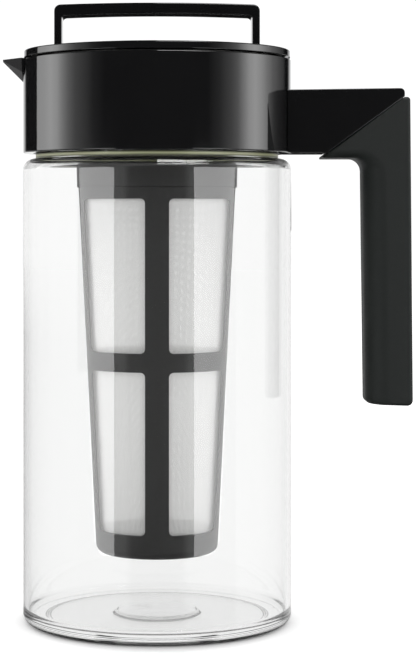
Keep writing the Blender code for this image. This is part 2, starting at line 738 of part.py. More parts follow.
def handle():
    root = handle_root()
    pocket = plate(
        "core_pocket", core_outline(SEAT_GAP), lambda x: CORE_HALF_WIDTH + SEAT_GAP, guide_finish, collar
    )
    arm = plate("arm_cover", arm_outline(), arm_half_width, gloss_black, collar)
    bevelled(arm, ARM_EDGE, 2)
    cut(arm, pocket)
    cut(arm, root)
    grip = grip_solid()
    cut(grip, pocket)
    core = plate("handle_core", core_outline(0), lambda x: CORE_HALF_WIDTH, satin_black, collar)
    cut(core, root)
    under_head = COLLAR_INNER_RADIUS - SEAT_GAP
    head_start = under_head - SCREW_HEAD_HEIGHT
    screw_end = head_start + SCREW_LENGTH
    for name, level in screw_levels().items():
        screw = rod(name, SCREW_HEAD_RADIUS, head_start, under_head, level, zinc, collar)
        shank_start = head_start + SCREW_HEAD_HEIGHT / 2
        joined(screw, rod(name + "_shank", SCREW_RADIUS, shank_start, screw_end, level, guide_finish, collar))
        pilot = rod(
            name + "_pilot", SCREW_RADIUS + SEAT_GAP, under_head, screw_end + SEAT_GAP, level,
            guide_finish, collar,
        )
        cut(core, pilot)


def loop_arch(half_span, level):
    """Corners along a low arch, left to right."""
    corners = []
    for step in range(1, LOOP_ARCH_STEPS):
        share = 2 * step / LOOP_ARCH_STEPS - 1
        corners.append((half_span * share, level + LOOP_ARCH * (1 - share**2), 0))
    return corners


def loop_outline():
    """The carrying loop seen from the front: two thin legs and an arched bar."""
    top = CAP_TOP + LOOP_HEIGHT - LOOP_ARCH
    under = top - LOOP_BAR_THICKNESS
    seat = CAP_TOP - LOOP_SEAT_DEPTH
    outer = LOOP_HALF_SPAN
    inner = LOOP_HALF_SPAN - LOOP_LEG_THICKNESS
    corners = [(-outer, seat, 0), (-outer, top, LOOP_OUTER_CORNER)]
    corners += loop_arch(outer, top)
    corners += [(outer, top, LOOP_OUTER_CORNER), (outer, seat, 0)]
    corners += [(inner, seat, 0), (inner, under, LOOP_INNER_CORNER)]
    corners += reversed(loop_arch(inner, under))
    corners += [(-inner, under, LOOP_INNER_CORNER), (-inner, seat, 0)]
    return rounded(corners, closed=True)


def lid_cap():
    spigot = PLUG_INNER_RADIUS - SEAT_GAP
    spigot_foot = CAP_FOOT - CAP_SPIGOT_DEPTH
    corners = [
        (0, CAP_FOOT, 0),
        (spigot - CAP_SPIGOT_WALL, CAP_FOOT, 0),
        (spigot - CAP_SPIGOT_WALL, spigot_foot, 0),
        (spigot, spigot_foot, 0),
        (spigot, CAP_FOOT, 0),
        (CAP_RADIUS, CAP_FOOT, CAP_FOOT_CORNER),
        (CAP_RADIUS, CAP_TOP, CAP_TOP_CORNER),
        (0, CAP_TOP, 0),
    ]
    cap = turned("lid_cap", corners, gloss_black, lid)
    half = STOP_LUG_WIDTH / 2
    lug = sector(
        "stop_lug", STOP_RADIUS - half, STOP_RADIUS + half, STOP_START - STOP_LUG_HALF_ANGLE,
        STOP_START + STOP_LUG_HALF_ANGLE, LINER_TOP - STOP_SLOT_DEPTH + SEAT_GAP,
        CAP_FOOT + CAP_THICKNESS / 2, STOP_LUG_STEPS, lid,
    )
    joined(cap, lug)
    loop = plate("lid_loop", loop_outline(), lambda x: LOOP_HALF_WIDTH, gloss_black, lid)
    bevelled(loop, LOOP_EDGE, 2)
    seat_half_width = LOOP_HALF_WIDTH + SEAT_GAP
    seat_foot = CAP_TOP - LOOP_SEAT_DEPTH - SEAT_GAP
    for side, name in ((-1, "loop_seat_left"), (1, "loop_seat_right")):
        inner = side * (LOOP_HALF_SPAN - LOOP_LEG_THICKNESS - SEAT_GAP)
        outer = side * (LOOP_HALF_SPAN + SEAT_GAP)
        low = (min(inner, outer), -seat_half_width, seat_foot)
        high = (max(inner, outer), seat_half_width, CAP_TOP + OVERRUN)
        cut(cap, box(name, low, high, lid))


def oring_groove(wall, centre_radius, level):
    """Corners of a groove in an outer wall, from top to bottom."""
    half = ORING_SECTION + ORING_GROOVE_LAND
    bottom = centre_radius - half
    return [(wall, level + half, 0), (bottom, level + half, 0), (bottom, level - half, 0), (wall, level - half, 0)]


def lid_plug():
    corners = [
        (0, PLUG_FOOT, 0),
        (BOSS_RADIUS - BOSS_WALL, PLUG_FOOT, 0),
        (BOSS_RADIUS - BOSS_WALL, BOSS_FOOT, 0),
        (BOSS_RADIUS, BOSS_FOOT, RIM_CORNER),
        (BOSS_RADIUS, PLUG_FOOT, 0),
        (PLUG_LOWER_RADIUS, PLUG_FOOT, RIM_CORNER),
    ]
    corners += reversed(oring_groove(PLUG_LOWER_RADIUS, LOWER_ORING_RADIUS, LOWER_ORING_LEVEL))
    corners += reversed(oring_groove(PLUG_LOWER_RADIUS, UPPER_ORING_RADIUS, UPPER_ORING_LEVEL))
    corners += [
        (PLUG_LOWER_RADIUS, PLUG_STEP, 0),
        (PLUG_UPPER_RADIUS, PLUG_STEP, 0),
        (PLUG_UPPER_RADIUS, PLUG_TOP, 0),
        (PLUG_INNER_RADIUS, PLUG_TOP, 0),
        (PLUG_INNER_RADIUS, PLUG_FOOT + PLUG_FLOOR, 0),
        (0, PLUG_FOOT + PLUG_FLOOR, 0),
    ]
    plug = turned("lid_plug", corners, satin_black, lid)
    sizes = (INFUSER_THREAD_PITCH, INFUSER_THREAD_HEIGHT, INFUSER_THREAD_ROOT, INFUSER_THREAD_CREST)
    foot = BOSS_FOOT + INFUSER_THREAD_RISE
    joined(plug, thread_ridge("boss_thread", BOSS_RADIUS, 1, 0, BOSS_THREAD_TURNS, foot, sizes, lid))
    low = (-CHANNEL_HALF_WIDTH, -BODY_RADIUS, PORT_FOOT)
    high = (CHANNEL_HALF_WIDTH, BODY_RADIUS, PORT_TOP)
    cut(plug, box("pour_windows", low, high, lid))
    middle = (INFUSER_RING_RADIUS + PLUG_INNER_RADIUS) / 2
    for index in range(SLOT_COUNT):
        low = (middle - SLOT_LENGTH / 2, -SLOT_HALF_WIDTH, PLUG_FOOT - OVERRUN)
        high = (middle + SLOT_LENGTH / 2, SLOT_HALF_WIDTH, PLUG_FOOT + PLUG_FLOOR + OVERRUN)
        slot = box(f"strainer_slot_{index}", low, high, lid)
        slot.data.transform(Matrix.Rotation(math.tau * (index + 0.5) / SLOT_COUNT, 4, "Z"))
        cut(plug, slot)


def lid_seals():
    oring(
        "plug_oring_upper", UPPER_ORING_RADIUS, ORING_SECTION, UPPER_ORING_LEVEL, pale_silicone, plug_seals
    )
    oring(
        "plug_oring_lower", LOWER_ORING_RADIUS, ORING_SECTION, LOWER_ORING_LEVEL, pale_silicone, plug_seals
    )
    gasket_outer = LID_GASKET_INNER + LID_GASKET_WIDTH
    ring(
        "lid_gasket", LID_GASKET_INNER, gasket_outer, LID_GASKET_FOOT, CAP_FOOT - SEAT_GAP,
        pale_silicone, plug_seals,
    )
    ring(
        "infuser_gasket", INFUSER_RING_INNER, INFUSER_RING_RADIUS, INFUSER_GASKET_FOOT,
        INFUSER_GASKET_TOP, pale_silicone, infuser_seal,
    )


def frame_radius(level):
    """Outer radius of the infuser's tapered frame at a height."""
    return FRAME_TOP_RADIUS - FRAME_TAPER * (FRAME_TOP - level)


def window_pane(name, foot, top, side):
    """A cutter along Y for one pane of the frame: upright at the middle rib, and slanting with
    the frame's edge at the side."""
    corners = [
        (side * RIB_HALF_WIDTH, foot, PANE_CORNER),
        (side * (frame_radius(foot) - SIDE_RIB), foot, PANE_CORNER),
        (side * (frame_radius(top) - SIDE_RIB), top, PANE_CORNER),
        (side * RIB_HALF_WIDTH, top, PANE_CORNER),
    ]
    return plate(name, rounded(corners, closed=True), lambda x: BODY_RADIUS, guide_finish, infuser)


def infuser_frame():
    inner_top = FRAME_TOP_RADIUS - FRAME_WALL
    spigot_inner = FRAME_SPIGOT_RADIUS - FRAME_SPIGOT_WALL
    spigot_top = FRAME_TOP + FRAME_SPIGOT_HEIGHT
    neck_in = FRAME_TOP - FRAME_SPIGOT_WALL
    corners = [
        (0, FRAME_FOOT, 0),
        (FRAME_FOOT_RADIUS, FRAME_FOOT, FRAME_FOOT_CORNER),
        (FRAME_TOP_RADIUS, FRAME_TOP, 0),
        (FRAME_SPIGOT_RADIUS, FRAME_TOP, 0),
        (FRAME_SPIGOT_RADIUS, spigot_top, 0),
        (spigot_inner, spigot_top, 0),
        (spigot_inner, neck_in, 0),
        (inner_top, neck_in - FRAME_SPIGOT_WALL, 0),
        (FRAME_FOOT_RADIUS - FRAME_WALL, FRAME_FOOT + FRAME_FLOOR, FRAME_FOOT_CORNER - FRAME_WALL),
        (0, FRAME_FOOT + FRAME_FLOOR, 0),
    ]
    frame = turned("infuser_frame", corners, smoke_plastic, infuser)
    mid_foot = FRAME_FOOT + MID_BAND_FOOT
    rows = {
        "lower": (FRAME_FOOT + FOOT_BAND, mid_foot),
        "upper": (mid_foot + MID_BAND, FRAME_TOP - TOP_BAND),
    }
    for row, (foot, top) in rows.items():
        for side, word in ((-1, "left"), (1, "right")):
            cut(frame, window_pane(f"{row}_{word}_pane", foot, top, side))


def infuser_ring():
    foot_inner = FRAME_SPIGOT_RADIUS + SEAT_GAP
    corners = [
        (foot_inner, INFUSER_RING_FOOT, 0),
        (INFUSER_RING_RADIUS - INFUSER_RING_TAPER, INFUSER_RING_FOOT, 0),
        (INFUSER_RING_RADIUS, INFUSER_RING_STEP, 0),
        (INFUSER_RING_RADIUS, INFUSER_RING_TOP, 0),
        (INFUSER_RING_INNER, INFUSER_RING_TOP, 0),
        (INFUSER_RING_INNER, INFUSER_RING_STEP, 0),
        (foot_inner, INFUSER_RING_STEP, 0),
    ]
    piece = turned("infuser_ring", corners, smoke_plastic, infuser)
    flanks = (INFUSER_THREAD_ROOT + INFUSER_THREAD_CREST) / 2
    foot = BOSS_FOOT + INFUSER_THREAD_RISE + flanks + SEAT_GAP
    sizes = (INFUSER_THREAD_PITCH, INFUSER_THREAD_HEIGHT, INFUSER_THREAD_ROOT, INFUSER_THREAD_CREST)
    ridge = thread_ridge(
        "ring_thread", INFUSER_RING_INNER, -1, RING_THREAD_START_TURN, RING_THREAD_TURNS, foot,
        sizes, infuser,
    )
    joined(piece, ridge)


def infuser_mesh():
    foot = FRAME_FOOT + FRAME_FLOOR + FRAME_FOOT_CORNER - FRAME_WALL + SEAT_GAP
    top = FRAME_TOP - 2 * FRAME_SPIGOT_WALL - SEAT_GAP
    corners = []
    for level, inset in ((foot, MESH_THICKNESS), (foot, 0), (top, 0), (top, MESH_THICKNESS)):
        corners.append((frame_radius(level) - FRAME_WALL - SEAT_GAP - inset, level, 0))
    turned("infuser_mesh", corners, white_mesh, infuser)


clear_scene()
guide_finish = material("guide", (0.8, 0.3, 0.3), 0.5)
clear_plastic = material("clear_plastic", (0.95, 0.96, 0.96), 0.03, alpha=0.25)
gloss_black = material("gloss_black", (0.008, 0.008, 0.009), 0.12)
satin_black = material("satin_black", (0.012, 0.012, 0.012), 0.4)
soft_black = material("soft_black", (0.024, 0.026, 0.025), 0.6)
smoke_plastic = material("smoke_plastic", (0.03, 0.03, 0.03), 0.35)
pale_silicone = material("pale_silicone", (0.75, 0.75, 0.72), 0.5)
olive_silicone = material("olive_silicone", (0.16, 0.18, 0.07), 0.45)
white_mesh = material("white_mesh", (0.8, 0.8, 0.8), 0.7, alpha=0.6)
zinc = material("zinc", (0.6, 0.6, 0.62), 0.35, metallic=1.0)

pitcher = empty("pitcher_axis")
seals = empty("collar_seal_axis", pitcher)
collar = empty("collar_axis", seals)
plug_seals = empty("lid_seal_axis", collar)
lid = empty("lid_axis", plug_seals)
infuser_seal = empty("infuser_seal_axis", lid)
infuser = empty("infuser_axis", infuser_seal)

pitcher_body()
collar_seals()
collar_shell()
collar_liner()
handle()
lid_cap()
lid_plug()
lid_seals()
infuser_frame()
infuser_ring()
infuser_mesh()
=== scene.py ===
"""Looks of the cold brew coffee maker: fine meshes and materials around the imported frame.

Metres, +Z up, in the frame's own axes: the spout points to -X, the handle to +X, and the camera
looks along +Y from the object's front.
"""

import math

import bmesh
import bpy
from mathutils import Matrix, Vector

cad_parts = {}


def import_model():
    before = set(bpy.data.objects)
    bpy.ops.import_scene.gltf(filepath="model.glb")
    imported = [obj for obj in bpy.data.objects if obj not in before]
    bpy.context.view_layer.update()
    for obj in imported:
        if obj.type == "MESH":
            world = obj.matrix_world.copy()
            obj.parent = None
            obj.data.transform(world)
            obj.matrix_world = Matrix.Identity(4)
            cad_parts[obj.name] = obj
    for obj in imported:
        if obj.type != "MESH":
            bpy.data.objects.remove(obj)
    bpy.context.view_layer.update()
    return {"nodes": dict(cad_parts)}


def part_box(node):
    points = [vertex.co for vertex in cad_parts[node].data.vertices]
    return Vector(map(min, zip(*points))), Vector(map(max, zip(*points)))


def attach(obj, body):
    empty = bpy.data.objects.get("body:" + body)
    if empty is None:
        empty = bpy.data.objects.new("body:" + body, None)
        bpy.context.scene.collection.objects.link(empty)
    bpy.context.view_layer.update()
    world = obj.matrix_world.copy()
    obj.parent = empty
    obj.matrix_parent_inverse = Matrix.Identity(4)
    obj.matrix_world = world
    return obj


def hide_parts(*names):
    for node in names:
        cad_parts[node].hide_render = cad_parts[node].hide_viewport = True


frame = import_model()

# The camera, as it was fitted to the photo
CAMERA_DISTANCE = 0.892
CAMERA_HEIGHT = 0.174
METRES_PER_PIXEL = 0.00043294
SENSOR = 36.0
IMAGE_HEIGHT_PX = 653
IMAGE_CENTRE = (208, 326.5)
AXIS_COLUMN = 157.0
HORIZON_ROW = 218

# Clearances and counts shared by all pieces
SEAT_GAP = 0.0003
OVERRUN = 0.002
SEGMENTS = 192
ARC_STEPS = 8
FINE_STEPS = 4
SHARP_ANGLE = math.radians(32)
BEVEL_ANGLE = math.radians(40)
MERGE_DISTANCE = SEAT_GAP / 100

# The range that noise mostly keeps within
NOISE_REACH = (0.3, 0.7)

# Pitcher
BODY_WALL = 0.0024
BASE_CORNER = 0.0045
BASE_THICKNESS = 0.0042
BASE_INNER_CORNER = 0.0035
SHOULDER_CORNER = 0.0048
FOOT_SOFTNESS = 0.0019
FOOT_RING_WIDTH = 0.006
FOOT_RECESS = 0.0012
CENTRE_PAD_RADIUS = 0.0174
FLOOR_STEP = 0.0008
NECK_WALL = 0.0024
RIM_CORNER = 0.0006
THREAD_PITCH = 0.005
THREAD_HEIGHT = 0.0014
THREAD_ROOT = 0.0020
THREAD_CREST = 0.0010
THREAD_RISE = 0.0075
THREAD_TURNS = 1.25
THREAD_STEPS_PER_TURN = 96
THREAD_RUNOUT_STEPS = 12
THREAD_RUNOUT = 0.0002
THREAD_EMBED = 0.0010
SEAL_INSET = OVERRUN / 10

# Collar and spout
COLLAR_WALL = 0.0022
COLLAR_TOP_CORNER = 0.0004
COLLAR_FOOT_CORNER = 0.0005
COLLAR_FOOT_FLANGE = 0.0016
SPOUT_HALF_WIDTH = 0.0135
SPOUT_TIP_HALF_WIDTH = 0.0012
SPOUT_WALL = 0.0014
SPOUT_TIP_WALL = 0.0006
SPOUT_DEPTH = 0.0099
SPOUT_TIP_DEPTH = 0.0010
SPOUT_RIM_RISE = 0.0003
SPOUT_KEEL_SHARE = 0.12
SPOUT_BELLY_WIDTH_SHARE = 0.74
SPOUT_BELLY_HEIGHT_SHARE = 0.42

# Handle
ARM_CORNER = 0.0030
ARM_RISE = 0.0010
ARM_EDGE = 0.0003
ARM_ROOT_HALF_WIDTH = 0.0170
ARM_TIP_HALF_WIDTH = 0.0140
GRIP_DEPTH = 0.0199
GRIP_FOOT_DEPTH = 0.0197
GRIP_LEAN = 0.0011
GRIP_UNDERLAP = 0.0023
GRIP_INNER_CORNER = 0.0053
GRIP_FOOT_CORNER = 0.0024
GRIP_FOOT_SLOPE = 0.0006
GRIP_PALM_ROUND = 0.0100
GRIP_UNDER_ROUND = 0.0040
GRIP_BACK_ROUND = 0.0014
GRIP_SEAM_ROUND = 0.0004
GRIP_TIP_ROUND = 0.0005
GRIP_ROUND_STEPS = 20
SEAM_OFFSET = 0.0121
SEAM_END_DROP = 0.0028

# Lid
CAP_THICKNESS = 0.0031
CAP_TOP_CORNER = 0.0006
CAP_FOOT_CORNER = 0.0002
LOOP_ARCH = 0.0009
LOOP_BAR_THICKNESS = 0.0046
LOOP_LEG_THICKNESS = 0.0033
LOOP_OUTER_CORNER = 0.0028
LOOP_INNER_CORNER = 0.0016
LOOP_EDGE = 0.0005
LOOP_ARCH_STEPS = 24

# Infuser
RING_TAPER = 0.0002
RING_CORNER = RIM_CORNER / 2
RING_SKIRT = 0.0089
FRAME_NARROWING = 0.0077
FRAME_WALL = 0.0018
FRAME_FLOOR = 0.0020
FRAME_FOOT_CORNER = 0.0040
FRAME_SPIGOT_WALL = 0.0014
FRAME_SPIGOT_HEIGHT = 0.0070
RIB_HALF_WIDTH = 0.0050
SIDE_RIB = 0.0025
RING_SEAM = 0.0001
TOP_BAND = 0.0050
MID_BAND = 0.0079
MID_BAND_FOOT = 0.0793
FOOT_BAND = 0.0103
PANE_CORNER = 0.0020

# The share of scattered light that the clear wall lets through at its foot and above it, and
# the heights between which that changes
FOOT_PASSED = (0.12, 0.97)
FOOT_SHADE = (0.003, 0.009)

# The seal's bead has a painted highlight along its middle and painted shade at its top and bottom
# edges; the higher this power, the narrower the highlight
SEAL_PAINTED_HIGHLIGHT_POWER = 1.7
SEAL_PAINTED_SHADE_COLOUR = (0.090, 0.097, 0.050)
SEAL_PAINTED_HIGHLIGHT_COLOUR = (0.52, 0.54, 0.32)

# The woven mesh. From a hole to a thread's crest its profile runs from 0 to 1. The thread's edge
# is a range of that, over which the cover comes up.
WEAVE_SPACING = 0.00022
WEAVE_EDGE = (0.35, 0.75)
WEAVE_COVER = (0.2, 0.96)
WEAVE_RELIEF = (0.3, 0.00004)
WEAVE_GLOW = 0.25

# Places read from the frame
BODY_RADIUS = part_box("pitcher_body")[1].y
NECK_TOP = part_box("pitcher_body")[1].z
SEAL_LOW, SEAL_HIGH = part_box("shoulder_seal")
BODY_HEIGHT = SEAL_LOW.z - SEAT_GAP
NECK_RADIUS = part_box("neck_gasket")[1].y
NECK_INNER_RADIUS = NECK_RADIUS - NECK_WALL
COLLAR_LOW, COLLAR_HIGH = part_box("collar_shell")
COLLAR_RADIUS = COLLAR_HIGH.y
COLLAR_INNER_RADIUS = COLLAR_RADIUS - COLLAR_WALL
SPOUT_TOP = COLLAR_HIGH.z + SPOUT_RIM_RISE
SPOUT_FOOT = SPOUT_TOP - SPOUT_DEPTH
ARM_LOW, ARM_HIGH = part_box("arm_cover")
GRIP_LOW, GRIP_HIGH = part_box("grip")
HANDLE_ROOT_RADIUS = COLLAR_RADIUS + SEAT_GAP
HANDLE_ROOT_START = HANDLE_ROOT_RADIUS - ARM_ROOT_HALF_WIDTH / 2
SEAM_START = COLLAR_RADIUS + SEAM_OFFSET
CAP_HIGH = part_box("lid_cap")[1]
CAP_FOOT = CAP_HIGH.z - CAP_THICKNESS
LOOP_LOW, LOOP_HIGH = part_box("lid_loop")
RING_LOW, RING_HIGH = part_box("infuser_ring")
FRAME_LOW, FRAME_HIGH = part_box("infuser_frame")
FRAME_TOP = RING_LOW.z - RING_SEAM
FRAME_TOP_RADIUS = FRAME_HIGH.y
FRAME_FOOT_RADIUS = FRAME_TOP_RADIUS - FRAME_NARROWING
FRAME_SPIGOT_RADIUS = FRAME_TOP_RADIUS - FRAME_SPIGOT_WALL
MESH_LOW, MESH_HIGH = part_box("infuser_mesh")


# Materials


def shader_tree(name):
    """A new material's nodes and links, with a Principled shader on its output."""
    made = bpy.data.materials.new(name)
    made.use_nodes = True
    tree = made.node_tree
    return made, tree, tree.nodes["Principled BSDF"]


def constants(shader, **values):
    """Set the shader's sockets, which are named with _ for a space."""
    for socket, value in values.items():
        shader.inputs[socket.replace("_", " ")].default_value = value


def feed(tree, value, socket):
    """Give the socket a number, or link another socket to it."""
    if isinstance(value, (int, float)):
        socket.default_value = value
    else:
        tree.links.new(value, socket)


def surface(tree, shader_output):
    """What the material shows."""
    tree.links.new(shader_output, tree.nodes["Material Output"].inputs["Surface"])


def math_node(tree, operation, *values):
    """The result of a Math node on values, each a socket or a number."""
    node = tree.nodes.new("ShaderNodeMath")
    node.operation = operation
    for value, socket in zip(values, node.inputs):
        feed(tree, value, socket)
    return node.outputs["Value"]


def mixed(tree, share, first, second):
    """Two shaders mixed, with the second one's share a socket or a number."""
    mix = tree.nodes.new("ShaderNodeMixShader")
    feed(tree, share, mix.inputs["Fac"])
    tree.links.new(first, mix.inputs[1])
    tree.links.new(second, mix.inputs[2])
    return mix.outputs["Shader"]


def axes(tree, vector):
    """A vector's outputs X, Y and Z."""
    split = tree.nodes.new("ShaderNodeSeparateXYZ")
    tree.links.new(vector, split.inputs["Vector"])
    return split.outputs


def place(tree, kind="Object"):
    """X, Y and Z of the place: in the piece's own metres, or as kind has them."""
    return axes(tree, tree.nodes.new("ShaderNodeTexCoord").outputs[kind])


def uv_place(tree):
    return axes(tree, tree.nodes.new("ShaderNodeUVMap").outputs["UV"])


def noise(tree, scale, detail=2.0, stretch=(1, 1, 1)):
    """Noise in the piece's own metres. stretch squeezes it along an axis, for grain."""
    metres = tree.nodes.new("ShaderNodeTexCoord")
    mapping = tree.nodes.new("ShaderNodeMapping")
    mapping.inputs["Scale"].default_value = stretch
    texture = tree.nodes.new("ShaderNodeTexNoise")
    texture.inputs["Scale"].default_value = scale
    texture.inputs["Detail"].default_value = detail
    tree.links.new(metres.outputs["Object"], mapping.inputs["Vector"])
    tree.links.new(mapping.outputs["Vector"], texture.inputs["Vector"])
    return texture.outputs["Fac"]


def ramp(tree, source, start, end, low=0.0, high=1.0):
    """low where source is at start or before, high from end on, and even between."""
    node = tree.nodes.new("ShaderNodeMapRange")
    limits = {"From Min": start, "From Max": end, "To Min": low, "To Max": high}
    for socket, value in limits.items():
        node.inputs[socket].default_value = value
    tree.links.new(source, node.inputs["Value"])
    return node.outputs["Result"]


def spread(tree, source, low, high):
    """source, which lies about a half, spread from low to high."""
    return ramp(tree, source, *NOISE_REACH, low, high)


def bumped(tree, shader, height, strength, depth):
    """A relief in the shader's normals, depth metres high."""
    bump = tree.nodes.new("ShaderNodeBump")
    bump.inputs["Strength"].default_value = strength
    bump.inputs["Distance"].default_value = depth
    tree.links.new(height, bump.inputs["Height"])
    tree.links.new(bump.outputs["Normal"], shader.inputs["Normal"])


def tinted(tree, shader, dark, light, source):
    """Base colour between two close shades, driven by source."""
    mix = tree.nodes.new("ShaderNodeMix")
    mix.data_type = "RGBA"
    mix.inputs["A"].default_value = (*dark, 1)
    mix.inputs["B"].default_value = (*light, 1)
    tree.links.new(source, mix.inputs["Factor"])
    tree.links.new(mix.outputs["Result"], shader.inputs["Base Color"])


def surfaced(tree, shader, roughness, rough_grain, relief=None, relief_grain=None):
    """Roughness between two values, and a relief (strength, depth in metres). Each grain is its
    noise's scale, detail and stretch."""
    rough = spread(tree, noise(tree, *rough_grain), *roughness)
    tree.links.new(rough, shader.inputs["Roughness"])
    if relief:
        bumped(tree, shader, noise(tree, *relief_grain), *relief)


def moulded(name, dark, light, grain, **finish):
    """A moulding's material and shader: two close shades in a grain, and a surfaced finish."""
    made, tree, shader = shader_tree(name)
    tinted(tree, shader, dark, light, noise(tree, *grain))
    surfaced(tree, shader, **finish)
    return made, shader


def gloss_black():
    """Polished black plastic, with the faint waviness that a mould leaves."""
    made, shader = moulded(
        "gloss_black", dark=(0.0060, 0.0060, 0.0064), light=(0.0078, 0.0078, 0.0082), grain=(60,),
        roughness=(0.04, 0.06), rough_grain=(180, 3), relief=(0.05, 0.0002), relief_grain=(240, 1),
    )
    constants(shader, IOR=1.5)
    return made


def satin_black():
    """The spark-eroded black of hidden mouldings."""
    made, _ = moulded(
        "satin_black", dark=(0.010, 0.010, 0.010), light=(0.014, 0.014, 0.014), grain=(900,),
        roughness=(0.34, 0.46), rough_grain=(1400, 3),
        relief=(0.25, 0.0001), relief_grain=(2600, 2),
    )
    return made


def soft_black():
    """Soft-touch rubber over the grip: matte, a little greenish, with a fine grain."""
    made, shader = moulded(
        "soft_black", dark=(0.0090, 0.0115, 0.0104), light=(0.0118, 0.0146, 0.0134), grain=(500, 3),
        roughness=(0.50, 0.66), rough_grain=(1600, 3), relief=(0.3, 0.0001), relief_grain=(3200, 2),
    )
    constants(shader, Specular_IOR_Level=0.2, Sheen_Weight=0.02, Sheen_Roughness=0.35)
    return made


def smoke_plastic():
    """The infuser's dark grey satin plastic."""
    made, shader = moulded(
        "smoke_plastic", dark=(0.032, 0.032, 0.032), light=(0.039, 0.039, 0.038), grain=(700, 3),
        roughness=(0.36, 0.5), rough_grain=(1500, 3), relief=(0.2, 0.0001), relief_grain=(2800, 2),
    )
    constants(shader, Specular_IOR_Level=0.15)
    return made


def silicone(name, dark, light):
    """Soft matte rubber of the hidden seals."""
    made, _ = moulded(
        name, dark, light, grain=(300, 2),
        roughness=(0.45, 0.55), rough_grain=(900, 2), relief=(0.15, 0.0001), relief_grain=(1500, 2),
    )
    return made


def screw_steel():
    """Turned steel, its grain drawn out along the screws."""
    made, shader = moulded(
        "screw_steel", dark=(0.52, 0.52, 0.54), light=(0.64, 0.64, 0.66),
        grain=(800, 2, (0.1, 1, 1)), roughness=(0.28, 0.4), rough_grain=(1500, 2),
    )
    constants(shader, Metallic=1.0)
    return made


def olive_silicone():
    """The shoulder's seal: olive silicone, with a painted highlight along the middle of its bead
    and painted shade towards its top and bottom edges.
    """
    made, tree, shader = shader_tree("olive_silicone")
    # Painted light and shade: the colour is pale along the bead's middle and dark at its top and
    # bottom, with a little random cloud
    risen = ramp(tree, place(tree)["Z"], SEAL_LOW.z, SEAL_HIGH.z, low=0.0, high=2.0)
    middle = math_node(tree, "POWER", math_node(tree, "PINGPONG", risen, 1.0), SEAL_PAINTED_HIGHLIGHT_POWER)
    cloudy = spread(tree, noise(tree, scale=300), low=0.94, high=1.0)
    pale = math_node(tree, "MULTIPLY", middle, cloudy)
    tinted(tree, shader, SEAL_PAINTED_SHADE_COLOUR, SEAL_PAINTED_HIGHLIGHT_COLOUR, pale)
    surfaced(
        tree, shader,
        roughness=(0.32, 0.40), rough_grain=(900,), relief=(0.15, 0.0001), relief_grain=(1500,),
    )
    return made


def clear_plastic():
    """Clear moulded copolyester, with a trace of flow in its surface. Scattered and shadow rays
    go straight through it, so that what stands inside is lit, but for its thick foot, which
    bends them away."""
    made, tree, shader = shader_tree("clear_plastic")
    constants(shader, Transmission_Weight=1.0, IOR=1.45, Base_Color=(0.962, 0.964, 0.962, 1))
    surfaced(
        tree, shader, roughness=(0.0, 0.015), rough_grain=(40, 2),
        relief=(0.02, 0.0004), relief_grain=(70, 1, (1, 1, 0.35)),
    )
    rays = tree.nodes.new("ShaderNodeLightPath").outputs
    straight = math_node(tree, "MAXIMUM", rays["Is Shadow Ray"], rays["Is Diffuse Ray"])
    clear = tree.nodes.new("ShaderNodeBsdfTransparent")
    passed = ramp(tree, place(tree)["Z"], *FOOT_SHADE, *FOOT_PASSED)
    tree.links.new(passed, clear.inputs["Color"])
    surface(tree, mixed(tree, straight, shader.outputs["BSDF"], clear.outputs["BSDF"]))
    return made


def thread_profile(tree, coordinate):
    """How high one set of threads stands at a place along coordinate: 1 on its crest, 0 between."""
    along = math_node(tree, "DIVIDE", coordinate, WEAVE_SPACING)
    return math_node(tree, "MULTIPLY", math_node(tree, "PINGPONG", along, 0.5), 2)


def white_mesh():
    """Fine woven nylon: two sets of threads with square holes between them. The threads scatter
    light and let much of it through."""
    made, tree, shader = shader_tree("white_mesh")
    sheet = uv_place(tree)
    height = math_node(tree, "MAXIMUM", *(thread_profile(tree, sheet[axis]) for axis in "XY"))
    shades = noise(tree, scale=120, detail=3)
    tinted(tree, shader, dark=(0.96, 0.96, 0.95), light=(0.98, 0.98, 0.97), source=shades)
    constants(shader, Roughness=0.6, Specular_IOR_Level=0.2)
    bumped(tree, shader, height, *WEAVE_RELIEF)
    glow = tree.nodes.new("ShaderNodeBsdfTranslucent")
    glow.inputs["Color"].default_value = (0.97, 0.97, 0.96, 1)
    threads = mixed(tree, WEAVE_GLOW, shader.outputs["BSDF"], glow.outputs["BSDF"])
    holes = tree.nodes.new("ShaderNodeBsdfTransparent")
    cover = ramp(tree, height, *WEAVE_EDGE, *WEAVE_COVER)
    surface(tree, mixed(tree, cover, holes.outputs["BSDF"], threads))
    return made


# Shapes


def finished(name, mesh, finish):
    """The mesh as a shown object, its faces pointing out, smooth with its sharp edges kept."""
    mesh.normal_update()
    bmesh.ops.recalc_face_normals(mesh, faces=mesh.faces)
    data = bpy.data.meshes.new(name)
    mesh.to_mesh(data)
    mesh.free()
    made = bpy.data.objects.new(name, data)
    bpy.context.scene.collection.objects.link(made)
    if finish:
        data.materials.append(finish)
    smoothed(made)
    return made


def smoothed(obj):
    """Shade obj smooth, with its sharp edges kept."""
    obj.data.shade_smooth()
    obj.data.set_sharp_from_angle(angle=SHARP_ANGLE)


